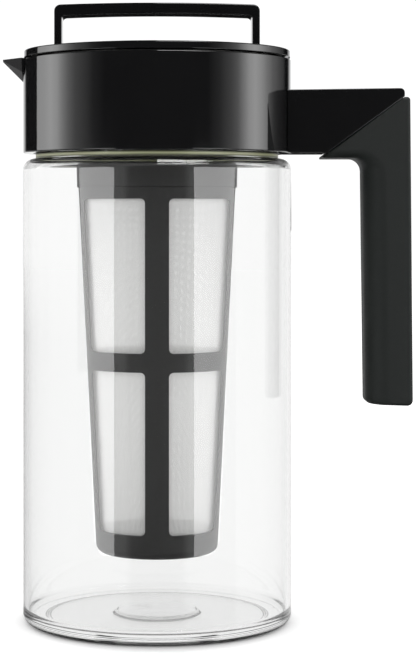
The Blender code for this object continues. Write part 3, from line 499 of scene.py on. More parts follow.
def rounded(corners, closed, steps=ARC_STEPS):
    """The outline through corners (a, b, fillet radius), each fillet an arc."""
    points = []
    count = len(corners)
    for index, (a, b, radius) in enumerate(corners):
        here = Vector((a, b))
        ends = not closed and index in (0, count - 1)
        if ends or radius <= 0:
            points.append(here)
            continue
        before = (Vector(corners[index - 1][:2]) - here).normalized()
        after = (Vector(corners[(index + 1) % count][:2]) - here).normalized()
        half = before.angle(after) / 2
        reach = radius / math.tan(half)
        centre = here + (before + after).normalized() * radius / math.sin(half)
        first = here + before * reach - centre
        last = here + after * reach - centre
        sweep = math.atan2(first.x * last.y - first.y * last.x, first.dot(last))
        for step in range(steps + 1):
            cosine = math.cos(sweep * step / steps)
            sine = math.sin(sweep * step / steps)
            x = first.x * cosine - first.y * sine
            y = first.x * sine + first.y * cosine
            points.append(centre + Vector((x, y)))
    return points


def turned(name, corners, finish=None, steps=ARC_STEPS):
    """A turned piece: its half section (radius, height, fillet) spun round the axis."""
    touches_axis = corners[0][0] == 0 and corners[-1][0] == 0
    outline = rounded(corners, closed=not touches_axis, steps=steps)
    mesh = bmesh.new()
    row = [mesh.verts.new((point.x, 0, point.y)) for point in outline]
    pairs = list(zip(row, row[1:]))
    if not touches_axis:
        pairs.append((row[-1], row[0]))
    edges = [mesh.edges.new(pair) for pair in pairs]
    bmesh.ops.spin(
        mesh, geom=row + edges, cent=(0, 0, 0), axis=(0, 0, 1),
        angle=math.tau, steps=SEGMENTS, use_merge=True,
    )
    bmesh.ops.remove_doubles(mesh, verts=mesh.verts, dist=MERGE_DISTANCE)
    return finished(name, mesh, finish)


def lofted(name, sections, finish=None):
    """A solid through closed sections that have the same number of points."""
    mesh = bmesh.new()
    loops = [[mesh.verts.new(point) for point in section] for section in sections]
    for loop, following in zip(loops, loops[1:]):
        for index in range(len(loop)):
            after = (index + 1) % len(loop)
            mesh.faces.new((loop[index], loop[after], following[after], following[index]))
    mesh.faces.new(loops[0])
    mesh.faces.new(loops[-1])
    return finished(name, mesh, finish)


def plate(name, outline, half_width, finish=None):
    """An outline in the XZ plane made a solid across Y, with its half width at x."""
    sections = [[(p.x, side * half_width(p.x), p.y) for p in outline] for side in (-1, 1)]
    return lofted(name, sections, finish)


def settled(obj):
    """obj with its modifiers applied."""
    evaluated = obj.evaluated_get(bpy.context.evaluated_depsgraph_get())
    data = bpy.data.meshes.new_from_object(evaluated)
    obj.modifiers.clear()
    obj.data = data
    smoothed(obj)
    return obj


def combined(obj, tool, operation):
    """obj with tool cut from it or joined to it, and the tool gone."""
    boolean = obj.modifiers.new(tool.name, "BOOLEAN")
    boolean.operation = operation
    boolean.object = tool
    settled(obj)
    bpy.data.objects.remove(tool)
    return obj


def cut(obj, tool):
    """obj less the tool."""
    return combined(obj, tool, "DIFFERENCE")


def joined(obj, tool):
    """obj and the tool as one."""
    return combined(obj, tool, "UNION")


def bevelled(obj, width, steps=FINE_STEPS):
    """obj with all its sharp edges rounded."""
    bevel = obj.modifiers.new("edge_round", "BEVEL")
    bevel.width = width
    bevel.segments = steps
    bevel.limit_method = "ANGLE"
    bevel.angle_limit = BEVEL_ANGLE
    return settled(obj)


def box(name, low, high):
    """A block between two opposite corners."""
    corners = [(low[0], low[2]), (high[0], low[2]), (high[0], high[2]), (low[0], high[2])]
    sections = [[(x, y, z) for x, z in corners] for y in (low[1], high[1])]
    return lofted(name, sections)


def shown(piece, body, *nodes, slot):
    """piece rides on its body and stands for its CAD nodes, which are hidden. slot is not used. Its
    large faces keep their own normals, so that they mirror flat beside their rounded edges."""
    weighted = piece.modifiers.new("face_normals", "WEIGHTED_NORMAL")
    weighted.keep_sharp = True
    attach(piece, body)
    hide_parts(*nodes)
    return piece


# Pitcher


def neck_thread():
    """The helical ridge on the neck, fading out at both ends."""
    steps = round(THREAD_TURNS * THREAD_STEPS_PER_TURN)
    foot = BODY_HEIGHT + THREAD_RISE
    root = NECK_RADIUS - THREAD_EMBED
    sections = []
    for step in range(steps + 1):
        turn = step / THREAD_STEPS_PER_TURN
        fade = min(1.0, min(step, steps - step) / THREAD_RUNOUT_STEPS)
        crest = NECK_RADIUS + THREAD_RUNOUT + (THREAD_HEIGHT - THREAD_RUNOUT) * fade
        angle = math.tau * turn
        section = []
        for radius, offset in (
            (root, -THREAD_ROOT / 2),
            (crest, -THREAD_CREST / 2),
            (crest, THREAD_CREST / 2),
            (root, THREAD_ROOT / 2),
        ):
            level = foot + THREAD_PITCH * turn + offset
            section.append((radius * math.cos(angle), radius * math.sin(angle), level))
        sections.append(section)
    return lofted("neck_thread", sections)


def pitcher():
    """The clear body: one turned wall with its recessed foot and its neck, and the thread."""
    inner_radius = BODY_RADIUS - BODY_WALL
    foot_inner = BODY_RADIUS - BASE_CORNER - FOOT_RING_WIDTH
    corners = [
        (0, 0, 0),
        (CENTRE_PAD_RADIUS, 0, FOOT_SOFTNESS),
        (CENTRE_PAD_RADIUS + FOOT_RECESS, FOOT_RECESS, FOOT_SOFTNESS),
        (foot_inner - FOOT_RECESS, FOOT_RECESS, FOOT_SOFTNESS),
        (foot_inner, 0, FOOT_SOFTNESS),
        (BODY_RADIUS, 0, BASE_CORNER),
        (BODY_RADIUS, BODY_HEIGHT, SHOULDER_CORNER),
        (NECK_RADIUS, BODY_HEIGHT, RIM_CORNER),
        (NECK_RADIUS, NECK_TOP, RIM_CORNER),
        (NECK_INNER_RADIUS, NECK_TOP, RIM_CORNER),
        (NECK_INNER_RADIUS, BODY_HEIGHT - BODY_WALL, RIM_CORNER),
        (inner_radius, BODY_HEIGHT - BODY_WALL, SHOULDER_CORNER - BODY_WALL),
        (inner_radius, BASE_THICKNESS, BASE_INNER_CORNER),
        (CENTRE_PAD_RADIUS + FLOOR_STEP, BASE_THICKNESS, RIM_CORNER),
        (CENTRE_PAD_RADIUS, BASE_THICKNESS + FLOOR_STEP, RIM_CORNER),
        (0, BASE_THICKNESS + FLOOR_STEP, 0),
    ]
    body = turned("pitcher_shell", corners, clear_plastic())
    joined(body, neck_thread())
    shown(body, "pitcher", "pitcher_body", slot="clear_plastic")


def shoulder_ring():
    """The seal on the pitcher's shoulder, a rounded bead."""
    inner = SEAL_HIGH.y - (SEAL_HIGH.z - SEAL_LOW.z) + SEAL_INSET
    corners = [
        (inner, SEAL_LOW.z, SEAT_GAP),
        (SEAL_HIGH.y, SEAL_LOW.z, SEAT_GAP),
        (SEAL_HIGH.y, SEAL_HIGH.z, SEAT_GAP),
        (inner, SEAL_HIGH.z, SEAT_GAP),
    ]
    ring = turned("shoulder_ring", corners, olive_silicone())
    shown(ring, "pitcher", "shoulder_seal", slot="olive_silicone")


# Collar, spout and handle


def trough_section(x, half_width, foot, top, above):
    """A section across the spout at x: two sides, each bent once, that meet at a rounded keel.
    They go straight up from top to above, which opens a channel's section."""
    section = [(x, -half_width, above)] if above > top else []
    belly = half_width * SPOUT_BELLY_WIDTH_SHARE
    belly_height = foot + (top - foot) * SPOUT_BELLY_HEIGHT_SHARE
    bend = half_width * SPOUT_KEEL_SHARE
    corners = [
        (-half_width, top, 0),
        (-belly, belly_height, bend),
        (0, foot, bend),
        (belly, belly_height, bend),
        (half_width, top, 0),
    ]
    section += [(x, point.x, point.y) for point in rounded(corners, closed=False)]
    if above > top:
        section.append((x, half_width, above))
    return section


def spout():
    """The spout's outside and its open channel, both narrowing to the tip."""
    inside = -COLLAR_INNER_RADIUS + COLLAR_WALL
    root = -COLLAR_RADIUS
    tip = COLLAR_LOW.x
    tip_foot = SPOUT_TOP - SPOUT_TIP_DEPTH
    rim = COLLAR_HIGH.z - SPOUT_RIM_RISE
    outside = lofted(
        "spout_outside",
        [
            trough_section(inside, SPOUT_HALF_WIDTH, SPOUT_FOOT, rim, rim),
            trough_section(root, SPOUT_HALF_WIDTH, SPOUT_FOOT, SPOUT_TOP, SPOUT_TOP),
            trough_section(tip, SPOUT_TIP_HALF_WIDTH, tip_foot, SPOUT_TOP, SPOUT_TOP),
        ],
    )
    above = COLLAR_HIGH.z + OVERRUN
    half_width = SPOUT_HALF_WIDTH - SPOUT_WALL
    narrow = SPOUT_TIP_HALF_WIDTH - SPOUT_TIP_WALL
    channel_foot = SPOUT_FOOT + SPOUT_WALL
    tip_channel_foot = tip_foot + SPOUT_TIP_WALL
    beyond = inside + SPOUT_DEPTH
    channel = lofted(
        "spout_channel",
        [
            trough_section(beyond, half_width, channel_foot, SPOUT_TOP, above),
            trough_section(root, half_width, channel_foot, SPOUT_TOP, above),
            trough_section(tip, narrow, tip_channel_foot, SPOUT_TOP, above),
            trough_section(tip - OVERRUN, narrow, tip_channel_foot, SPOUT_TOP, above),
        ],
    )
    return outside, channel


def collar(finish):
    """The collar's outer shell, open at the top and flanged at its foot, with the spout."""
    flange_inner = NECK_RADIUS + THREAD_HEIGHT + BODY_WALL + SEAT_GAP * 2
    low, high = COLLAR_LOW.z, COLLAR_HIGH.z
    corners = [
        (flange_inner, low, 0),
        (COLLAR_RADIUS, low, COLLAR_FOOT_CORNER),
        (COLLAR_RADIUS, high, COLLAR_TOP_CORNER),
        (flange_inner, high, 0),
    ]
    shell = turned("collar_outer", corners, finish)
    outside, channel = spout()
    joined(shell, outside)
    bore_foot = low + COLLAR_FOOT_FLANGE
    above = high + OVERRUN
    bore_corners = [
        (0, bore_foot, 0),
        (COLLAR_INNER_RADIUS, bore_foot, 0),
        (COLLAR_INNER_RADIUS, above, 0),
        (0, above, 0),
    ]
    cut(shell, turned("shell_bore", bore_corners))
    cut(shell, channel)
    shown(shell, "collar", "collar_shell", slot="gloss_black")


def seam_line():
    """The two ends of the slanting joint between the arm and the grip, in X and Z."""
    under = ARM_LOW.z - GRIP_UNDERLAP
    return Vector((SEAM_START, under)), Vector((ARM_HIGH.x, ARM_HIGH.z - ARM_RISE - SEAM_END_DROP))


def handle_root():
    """A round cutter that fits the handle to the collar shell."""
    corners = [
        (0, GRIP_LOW.z, 0),
        (HANDLE_ROOT_RADIUS, GRIP_LOW.z, 0),
        (HANDLE_ROOT_RADIUS, CAP_HIGH.z, 0),
        (0, CAP_HIGH.z, 0),
    ]
    return turned("handle_root", corners)


def arm_half_width(x):
    """The arm narrows evenly from the collar to its end."""
    share = (x - HANDLE_ROOT_RADIUS) / (ARM_HIGH.x - HANDLE_ROOT_RADIUS)
    return ARM_ROOT_HALF_WIDTH + (ARM_TIP_HALF_WIDTH - ARM_ROOT_HALF_WIDTH) * share


def arm(finish):
    """The glossy arm, with its lower edge parallel to the slanting joint."""
    start, end = seam_line()
    along = (end - start).normalized()
    away = Vector((-along.y, along.x)) * SEAT_GAP
    low = start + away
    low += along * ((ARM_LOW.z - low.y) / along.y)
    high = end + away
    corners = [
        (HANDLE_ROOT_START, ARM_LOW.z, 0),
        (low.x, low.y, 0),
        (ARM_HIGH.x, high.y, 0),
        (ARM_HIGH.x, ARM_HIGH.z, ARM_CORNER - ARM_RISE),
        (HANDLE_ROOT_START, ARM_HIGH.z - ARM_RISE, 0),
    ]
    piece = plate("handle_arm", rounded(corners, closed=True), arm_half_width, finish)
    bevelled(piece, ARM_EDGE)
    cut(piece, handle_root())
    shown(piece, "collar", "arm_cover", slot="gloss_black")


def grip_corners():
    """The grip's six corners from the side, in X and Z, from the joint's foot over the back."""
    start, end = seam_line()
    foot = GRIP_LOW.z + GRIP_FOOT_SLOPE
    reach = GRIP_HIGH.x
    return [
        start,
        end,
        Vector((reach - GRIP_LEAN, end.y)),
        Vector((reach, foot - GRIP_FOOT_SLOPE)),
        Vector((reach - GRIP_FOOT_DEPTH, foot)),
        Vector((reach - GRIP_LEAN - GRIP_DEPTH, start.y)),
    ]


def grip_sides(y):
    """Each side of the grip at y as a point and a direction, and how far it has drawn in.
    Towards the near and far faces a side draws in on its own arc: a wide one for the palm,
    firmer ones at the back and the foot, and nearly none along the slanting joint."""
    corners = grip_corners()
    rounds = [
        GRIP_SEAM_ROUND, GRIP_BACK_ROUND, GRIP_BACK_ROUND,
        GRIP_BACK_ROUND, GRIP_PALM_ROUND, GRIP_UNDER_ROUND,
    ]
    sides, insets = [], []
    for here, after, round_radius in zip(corners, corners[1:] + corners[:1], rounds):
        past = max(0, abs(y) - (GRIP_HIGH.y - round_radius))
        inset = round_radius - math.sqrt(max(0, round_radius**2 - past**2))
        along = (after - here).normalized()
        sides.append((here + Vector((along.y, -along.x)) * inset, along))
        insets.append(inset)
    return sides, insets


def grip_section(y):
    """The grip's outline at y, through the points where its sides meet."""
    sides, insets = grip_sides(y)
    palm_inset, under_inset = insets[-2:]
    fillets = [
        GRIP_TIP_ROUND, 0, GRIP_BACK_ROUND, GRIP_FOOT_CORNER, GRIP_FOOT_CORNER,
        GRIP_INNER_CORNER + (palm_inset + under_inset) / 2,
    ]
    outline = []
    for index, fillet in enumerate(fillets):
        (before, along_before), (here, along) = sides[index - 1], sides[index]
        across = Vector((along.y, -along.x))
        met = before + along_before * ((here - before).dot(across) / along_before.dot(across))
        outline.append((met.x, met.y, fillet))
    return [(point.x, y, point.y) for point in rounded(outline, closed=True)]


def grip():
    """The soft grip, with its sections closer together towards its rounded faces."""
    middle = GRIP_HIGH.y - GRIP_PALM_ROUND
    turn = math.pi / 2 / GRIP_ROUND_STEPS
    turns = [turn * step for step in range(GRIP_ROUND_STEPS + 1)]
    reaches = [middle + GRIP_PALM_ROUND * math.sin(angle) for angle in turns]
    sections = [grip_section(y) for y in [-reach for reach in reversed(reaches)] + reaches]
    piece = lofted("handle_grip", sections, soft_black())
    shown(piece, "collar", "grip", slot="soft_black")


# Lid


def lid_top(finish):
    """The lid's cap, with a seat cut for each leg of the loop."""
    corners = [
        (0, CAP_FOOT, 0),
        (CAP_HIGH.y, CAP_FOOT, CAP_FOOT_CORNER),
        (CAP_HIGH.y, CAP_HIGH.z, CAP_TOP_CORNER),
        (0, CAP_HIGH.z, 0),
    ]
    cap = turned("lid_top", corners, finish)
    seat_half_width = LOOP_HIGH.y + SEAT_GAP
    for side, name in ((-1, "loop_seat_left"), (1, "loop_seat_right")):
        inner = side * (LOOP_HIGH.x - LOOP_LEG_THICKNESS - SEAT_GAP)
        outer = side * (LOOP_HIGH.x + SEAT_GAP)
        low = (min(inner, outer), -seat_half_width, LOOP_LOW.z - SEAT_GAP)
        high = (max(inner, outer), seat_half_width, CAP_HIGH.z + OVERRUN)
        cut(cap, box(name, low, high))
    shown(cap, "lid", "lid_cap", slot="gloss_black")


def loop_arch(half_span, level):
    """Corners along a low arch, left to right."""
    corners = []
    for step in range(1, LOOP_ARCH_STEPS):
        share = 2 * step / LOOP_ARCH_STEPS - 1
        corners.append((half_span * share, level + LOOP_ARCH * (1 - share**2), 0))
    return corners


def carry_loop(finish):
    """The carrying loop: two thin legs and an arched bar."""
    top = LOOP_HIGH.z - LOOP_ARCH
    under = top - LOOP_BAR_THICKNESS
    outer = LOOP_HIGH.x
    inner = outer - LOOP_LEG_THICKNESS
    seat = LOOP_LOW.z
    corners = [(-outer, seat, 0), (-outer, top, LOOP_OUTER_CORNER)]
    corners += loop_arch(outer, top)
    corners += [(outer, top, LOOP_OUTER_CORNER), (outer, seat, 0)]
    corners += [(inner, seat, 0), (inner, under, LOOP_INNER_CORNER)]
    corners += reversed(loop_arch(inner, under))
    corners += [(-inner, under, LOOP_INNER_CORNER), (-inner, seat, 0)]
    piece = plate("carry_loop", rounded(corners, closed=True), lambda x: LOOP_HIGH.y, finish)
    bevelled(piece, LOOP_EDGE)
    shown(piece, "lid", "lid_loop", slot="gloss_black")


# Infuser


def frame_radius(level):
    """Outer radius of the infuser's tapered cage at a height."""
    taper = (FRAME_TOP_RADIUS - FRAME_FOOT_RADIUS) / (FRAME_TOP - FRAME_LOW.z)
    return FRAME_TOP_RADIUS - taper * (FRAME_TOP - level)


def window_pane(name, foot, top, side):
    """A cutter along Y for one pane of the cage: upright at the middle rib, and slanting with
    the cage's edge at the side."""
    corners = [
        (side * RIB_HALF_WIDTH, foot, PANE_CORNER),
        (side * (frame_radius(foot) - SIDE_RIB), foot, PANE_CORNER),
        (side * (frame_radius(top) - SIDE_RIB), top, PANE_CORNER),
        (side * RIB_HALF_WIDTH, top, PANE_CORNER),
    ]
    return plate(name, rounded(corners, closed=True), lambda x: BODY_RADIUS)


def infuser_cage(finish):
    """The tapered frame: a turned cup with a spigot on top, and four panes cut through it."""
    inner_top = FRAME_TOP_RADIUS - FRAME_WALL
    spigot_inner = FRAME_SPIGOT_RADIUS - FRAME_SPIGOT_WALL
    spigot_top = FRAME_TOP + FRAME_SPIGOT_HEIGHT
    neck_in = FRAME_TOP - FRAME_SPIGOT_WALL
    foot = FRAME_LOW.z
    corners = [
        (0, foot, 0),
        (FRAME_FOOT_RADIUS, foot, FRAME_FOOT_CORNER),
        (FRAME_TOP_RADIUS, FRAME_TOP, RING_SEAM),
        (FRAME_SPIGOT_RADIUS, FRAME_TOP, 0),
        (FRAME_SPIGOT_RADIUS, spigot_top, 0),
        (spigot_inner, spigot_top, 0),
        (spigot_inner, neck_in, 0),
        (inner_top, neck_in - FRAME_SPIGOT_WALL, 0),
        (FRAME_FOOT_RADIUS - FRAME_WALL, foot + FRAME_FLOOR, FRAME_FOOT_CORNER - FRAME_WALL),
        (0, foot + FRAME_FLOOR, 0),
    ]
    cage = turned("infuser_cage", corners, finish)
    mid_foot = foot + MID_BAND_FOOT
    rows = {
        "lower": (foot + FOOT_BAND, mid_foot),
        "upper": (mid_foot + MID_BAND, FRAME_TOP - TOP_BAND),
    }
    for row, (low, high) in rows.items():
        for side, word in ((-1, "left"), (1, "right")):
            cut(cage, window_pane(f"{row}_{word}_pane", low, high, side))
    shown(cage, "infuser", "infuser_frame", slot="smoke_plastic")


def infuser_top(finish):
    """The dark ring above the frame, slipped over its spigot."""
    foot_inner = FRAME_SPIGOT_RADIUS + SEAT_GAP
    step = RING_LOW.z + RING_SKIRT
    inner = RING_HIGH.y - FRAME_SPIGOT_WALL - SEAT_GAP
    corners = [
        (foot_inner, RING_LOW.z, 0),
        (RING_HIGH.y - RING_TAPER, RING_LOW.z, RING_SEAM),
        (RING_HIGH.y, step, 0),
        (RING_HIGH.y, RING_HIGH.z, RING_CORNER),
        (inner, RING_HIGH.z, RING_CORNER),
        (inner, step, 0),
        (foot_inner, step, 0),
    ]
    shown(turned("infuser_top", corners, finish), "infuser", "infuser_ring", slot="smoke_plastic")


def sleeve_radius(level):
    """The woven sleeve lies just inside the cage's wall."""
    return frame_radius(level) - FRAME_WALL - SEAT_GAP


def infuser_sleeve():
    """The woven sleeve inside the cage: one sheet, with its unrolled lengths in metres as UVs."""
    foot, top = MESH_LOW.z, MESH_HIGH.z
    mesh = bmesh.new()
    uv_layer = mesh.loops.layers.uv.new("unrolled")
    angles = [math.tau * step / SEGMENTS for step in range(SEGMENTS)]
    lower, upper = (
        [
            mesh.verts.new((radius * math.cos(angle), radius * math.sin(angle), level))
            for angle in angles
        ]
        for level, radius in ((foot, sleeve_radius(foot)), (top, sleeve_radius(top)))
    )
    round_length = math.tau * (sleeve_radius(foot) + sleeve_radius(top)) / 2
    slant = math.hypot(top - foot, sleeve_radius(top) - sleeve_radius(foot))
    for index in range(SEGMENTS):
        after = (index + 1) % SEGMENTS
        face = mesh.faces.new((lower[index], lower[after], upper[after], upper[index]))
        corners = ((index, 0), (index + 1, 0), (index + 1, slant), (index, slant))
        for loop, (step, rise) in zip(face.loops, corners):
            loop[uv_layer].uv = (round_length * step / SEGMENTS, rise)
    piece = finished("infuser_sleeve", mesh, white_mesh())
    shown(piece, "infuser", "infuser_mesh", slot="white_mesh")


# Materials of the CAD nodes that stay


def hidden_parts():
    """The pieces inside keep their CAD meshes and take a finish each."""
    satin = satin_black()
    pale = silicone("pale_silicone", dark=(0.70, 0.70, 0.67), light=(0.78, 0.78, 0.75))
    dark = silicone("dark_silicone", dark=(0.055, 0.055, 0.052), light=(0.070, 0.070, 0.066))
    steel = screw_steel()
    finishes = {
        "collar_liner": satin, "handle_core": satin, "lid_plug": satin,
        "neck_gasket": pale, "lid_gasket": dark, "infuser_gasket": pale,
        "plug_oring_upper": pale, "plug_oring_lower": pale,
        "handle_screw_upper": steel, "handle_screw_lower": steel,
    }
    for node, finish in finishes.items():
        piece = frame["nodes"][node]
        piece.data.materials.clear()
        piece.data.materials.append(finish)
        smoothed(piece)


# Studio

# The floor, as it is seen straight and through clear walls. Distances are from the axis.
FLOOR_SIZE = 6.0
FLOOR_COLOUR = 0.95
FLOOR_COLOUR_THROUGH = 0.18
FLOOR_GLOW = 0.32
FLOOR_GLOW_THROUGH = 0.87
# Painted shadow: the camera's glow comes up between these distances from the axis, the one along X
# stretched by the next
FLOOR_PAINTED_SHADOW = (0.059, 0.070)
FLOOR_PAINTED_SHADOW_ACROSS = 1.22
FLOOR_SPOT = (0.062, 0.068)

# The surround. Each edge is a range of a direction's Y or Z, over which the light comes up.
SKY_LIGHT = 1.0
SEEN_WHITE = 1.05
BACKDROP_EDGE = (0.88, 0.95)
BACKDROP_FOOT = (0.0, 0.02)
SIDES_EDGE = (-0.92, -0.87)
STEEP_EDGE = (0.25, 0.5)
MIRRORED_REST = 0.008
SIDES_LIGHT = 0.95

# Light panels round the axis. The high ones are for the collar, the low ones for the pitcher.
PANEL_RADIUS = 0.6
PANEL_STEPS = 48
PANEL_FOOT = -0.25
PANEL_SPLIT = 0.211
PANEL_TOP = 0.5
BACKDROP_SPLIT = 0.165
LEFT_PANEL_RISE = (0.09, 0.15)
LEFT_PANEL_REST = 0.3

# Their brightness, in stops of (degrees from the front and positive to the left, brightness)
LEFT_HIGH_STOPS = [
    (42, 0.0), (53, 0.18), (59, 0.5), (70, 1.0), (77, 1.8),
    (83, 2.9), (90, 4.4), (98, 4.5), (107, 3.2), (119.5, 2.0),
]
RIGHT_HIGH_STOPS = [
    (-41, 0.0), (-52, 0.3), (-63, 0.95), (-69, 1.6), (-75, 3.2), (-81, 4.8),
    (-88, 5.1), (-95, 3.8), (-103, 2.1), (-112, 0.95), (-123, 0.4), (-137, 0.05),
]
LEFT_LOW_STOPS = [(66.5, 0.9), (156, 1.0)]
LEFT_FAR_STOPS = [(156, 1.0), (172, 1.0)]
RIGHT_LOW_STOPS = [(-66.5, 0.8), (-92, 0.7), (-102, 0.6), (-130, 0.6), (-141, 1.0), (-160, 1.0)]
BACKDROP_STOPS = [(160, 1.0), (200, 1.0)]

# The bright strips, in degrees from the front. Each ends sooner at its foot, in a round corner.
STRIP_LEFT_INNER = 34.4
STRIP_RIGHT_INNER = 29.5
STRIP_OUTER = 66
STRIP_OUTER_FOOT = 51
STRIP_FOOT = -0.053
STRIP_CORNER = 0.0085
STRIP_LIGHT = 6.6

# The softbox overhead
OVERHEAD_HEIGHT = 0.75
OVERHEAD_ACROSS = (0.0, 0.38)
OVERHEAD_ALONG = (-0.55, -0.15)
OVERHEAD_LIGHT = 13.0


def ray_kinds(tree):
    """Three switches: 1 where the ray has only gone straight or through glass from the camera,
    1 where it was just mirrored, and 1 where it was mirrored earlier and then left glass."""
    rays = tree.nodes.new("ShaderNodeLightPath").outputs
    through = rays["Is Transmission Ray"]
    turned_back = math_node(tree, "MINIMUM", rays["Glossy Depth"], 1.0)
    glass_mirrored = math_node(tree, "MULTIPLY", through, turned_back)
    straight_through = math_node(tree, "SUBTRACT", through, glass_mirrored)
    seen = math_node(tree, "MAXIMUM", rays["Is Camera Ray"], straight_through)
    mirrored = math_node(tree, "MULTIPLY", rays["Is Glossy Ray"], rays["Is Reflection Ray"])
    return seen, mirrored, glass_mirrored


def floor_distance(tree, across):
    """The distance from the axis, with the one along X stretched by across."""
    metres = tree.nodes.new("ShaderNodeTexCoord")
    stretch = tree.nodes.new("ShaderNodeVectorMath")
    stretch.operation = "MULTIPLY"
    stretch.inputs[1].default_value = (across, 1, 1)
    measure = tree.nodes.new("ShaderNodeVectorMath")
    measure.operation = "LENGTH"
    tree.links.new(metres.outputs["Object"], stretch.inputs[0])
    tree.links.new(stretch.outputs["Vector"], measure.inputs[0])
    return measure.outputs["Value"]


def floor_white():
    """The floor's material: plain white. To the camera it glows brighter away from the foot, so
    that near the foot a painted shadow lies over the real soft one.
    """
    made, tree, shader = shader_tree("floor_white")
    _, mirrored, glass_mirrored = ray_kinds(tree)
    rays = tree.nodes.new("ShaderNodeLightPath").outputs
    through = rays["Is Transmission Ray"]
    constants(shader, Roughness=1.0, Specular_IOR_Level=0.0, Emission_Color=(1, 1, 1, 1))
    tinted(tree, shader, (FLOOR_COLOUR,) * 3, (FLOOR_COLOUR_THROUGH,) * 3, through)
    # Painted shadow round the foot: the glow that the camera sees is held back near it
    shadow_distance = floor_distance(tree, FLOOR_PAINTED_SHADOW_ACROSS)
    glow_past_painted_shadow = ramp(tree, shadow_distance, *FLOOR_PAINTED_SHADOW, 0.0, FLOOR_GLOW)
    away = math_node(tree, "MULTIPLY", glow_past_painted_shadow, rays["Is Camera Ray"])
    glow = math_node(tree, "MULTIPLY_ADD", through, FLOOR_GLOW_THROUGH, away)
    tree.links.new(glow, shader.inputs["Emission Strength"])
    beyond = ramp(tree, floor_distance(tree, 1.0), *FLOOR_SPOT)
    looking = math_node(tree, "ADD", mirrored, glass_mirrored)
    dropped = math_node(tree, "MULTIPLY", looking, beyond)
    clear = tree.nodes.new("ShaderNodeBsdfTransparent")
    surface(tree, mixed(tree, dropped, shader.outputs["BSDF"], clear.outputs["BSDF"]))
    return made


def floor():
    """A white sweep that keeps the object's real soft shadow, with a painted shadow added round the
    foot. Away from the foot it is seen as pure white. Gloss sees only the part that the object
    stands on, and looks through the rest to the surround."""
    mesh = bmesh.new()
    bmesh.ops.create_grid(mesh, x_segments=1, y_segments=1, size=FLOOR_SIZE)
    finished("floor", mesh, floor_white())


def world():
    """An even white surround. Gloss sees only the part behind the object and above it, as in a
    studio with a white backdrop and a dark room, and light mirrored inside glass sees all but
    the dark round the camera."""
    made = bpy.data.worlds.new("surround")
    made.use_nodes = True
    tree = made.node_tree
    background = tree.nodes["Background"]
    background.inputs["Color"].default_value = (1, 1, 1, 1)
    seen, mirrored, glass_mirrored = ray_kinds(tree)
    direction = place(tree, "Generated")
    back, up = direction["Y"], direction["Z"]
    behind, above = ramp(tree, back, *BACKDROP_EDGE), ramp(tree, up, *BACKDROP_FOOT)
    backdrop = math_node(tree, "MAXIMUM", math_node(tree, "MULTIPLY", behind, above), MIRRORED_REST)
    steep = ramp(tree, math_node(tree, "ABSOLUTE", up), *STEEP_EDGE)
    around = math_node(tree, "MAXIMUM", ramp(tree, back, *SIDES_EDGE), steep)
    around = math_node(tree, "MULTIPLY", around, SIDES_LIGHT)
    others = math_node(tree, "SUBTRACT", 1.0, seen)
    for kind in (mirrored, glass_mirrored):
        others = math_node(tree, "SUBTRACT", others, kind)
    strength = math_node(tree, "MULTIPLY", others, SKY_LIGHT)
    for kind, brightness in ((seen, SEEN_WHITE), (mirrored, backdrop), (glass_mirrored, around)):
        strength = math_node(tree, "MULTIPLY_ADD", kind, brightness, strength)
    tree.links.new(strength, background.inputs["Strength"])
    bpy.context.scene.world = made


def gloss_only(name, mesh, finish, inside_glass=False):
    """A light that only gloss sees, and with inside_glass also rays that leave clear walls."""
    piece = finished(name, mesh, finish)
    piece.visible_camera = piece.visible_diffuse = piece.visible_shadow = False
    piece.visible_transmission = inside_glass
    piece.visible_volume_scatter = False


def light_tree(name):
    """A new material's nodes and links, with an Emission shader on its output."""
    made, tree, shader = shader_tree(name)
    tree.nodes.remove(shader)
    light = tree.nodes.new("ShaderNodeEmission")
    surface(tree, light.outputs["Emission"])
    return made, tree, light


def panel_mesh(low, high, first, last, last_low):
    """A sheet curved round the axis from first to last, in degrees, with U along it. Where its
    lower edge ends elsewhere, at last_low, its corner there is cut round."""
    mesh = bmesh.new()
    uv_layer = mesh.loops.layers.uv.new("along")
    columns = []
    for step in range(PANEL_STEPS + 1):
        share = step / PANEL_STEPS
        column = []
        for z, end in ((low, last_low), (high, last)):
            angle = math.radians(first + (end - first) * share)
            x, y = -PANEL_RADIUS * math.sin(angle), -PANEL_RADIUS * math.cos(angle)
            raised = STRIP_CORNER * max(0.0, 2 * share - 1) ** 2 if end != last else 0.0
            column.append(mesh.verts.new((x, y, z + raised)))
        columns.append(column)
    for step, (here, after) in enumerate(zip(columns, columns[1:])):
        face = mesh.faces.new((here[0], after[0], after[1], here[1]))
        for loop, column_index in zip(face.loops, (step, step + 1, step + 1, step)):
            loop[uv_layer].uv = (column_index / PANEL_STEPS, 0)
    return mesh


def brightness_along(tree, stops):
    """The brightness along a panel, running evenly between its stops."""
    first, last = stops[0][0], stops[-1][0]
    brightest = max(brightness for _, brightness in stops)
    curve = tree.nodes.new("ShaderNodeFloatCurve")
    points = curve.mapping.curves[0].points
    places = [((degrees - first) / (last - first), value / brightest) for degrees, value in stops]
    points[0].location, points[-1].location = places[0], places[-1]
    for stop in places[1:-1]:
        points.new(*stop)
    for point in points:
        point.handle_type = "VECTOR"
    curve.mapping.update()
    tree.links.new(uv_place(tree)["X"], curve.inputs["Value"])
    return math_node(tree, "MULTIPLY", curve.outputs["Value"], brightest)


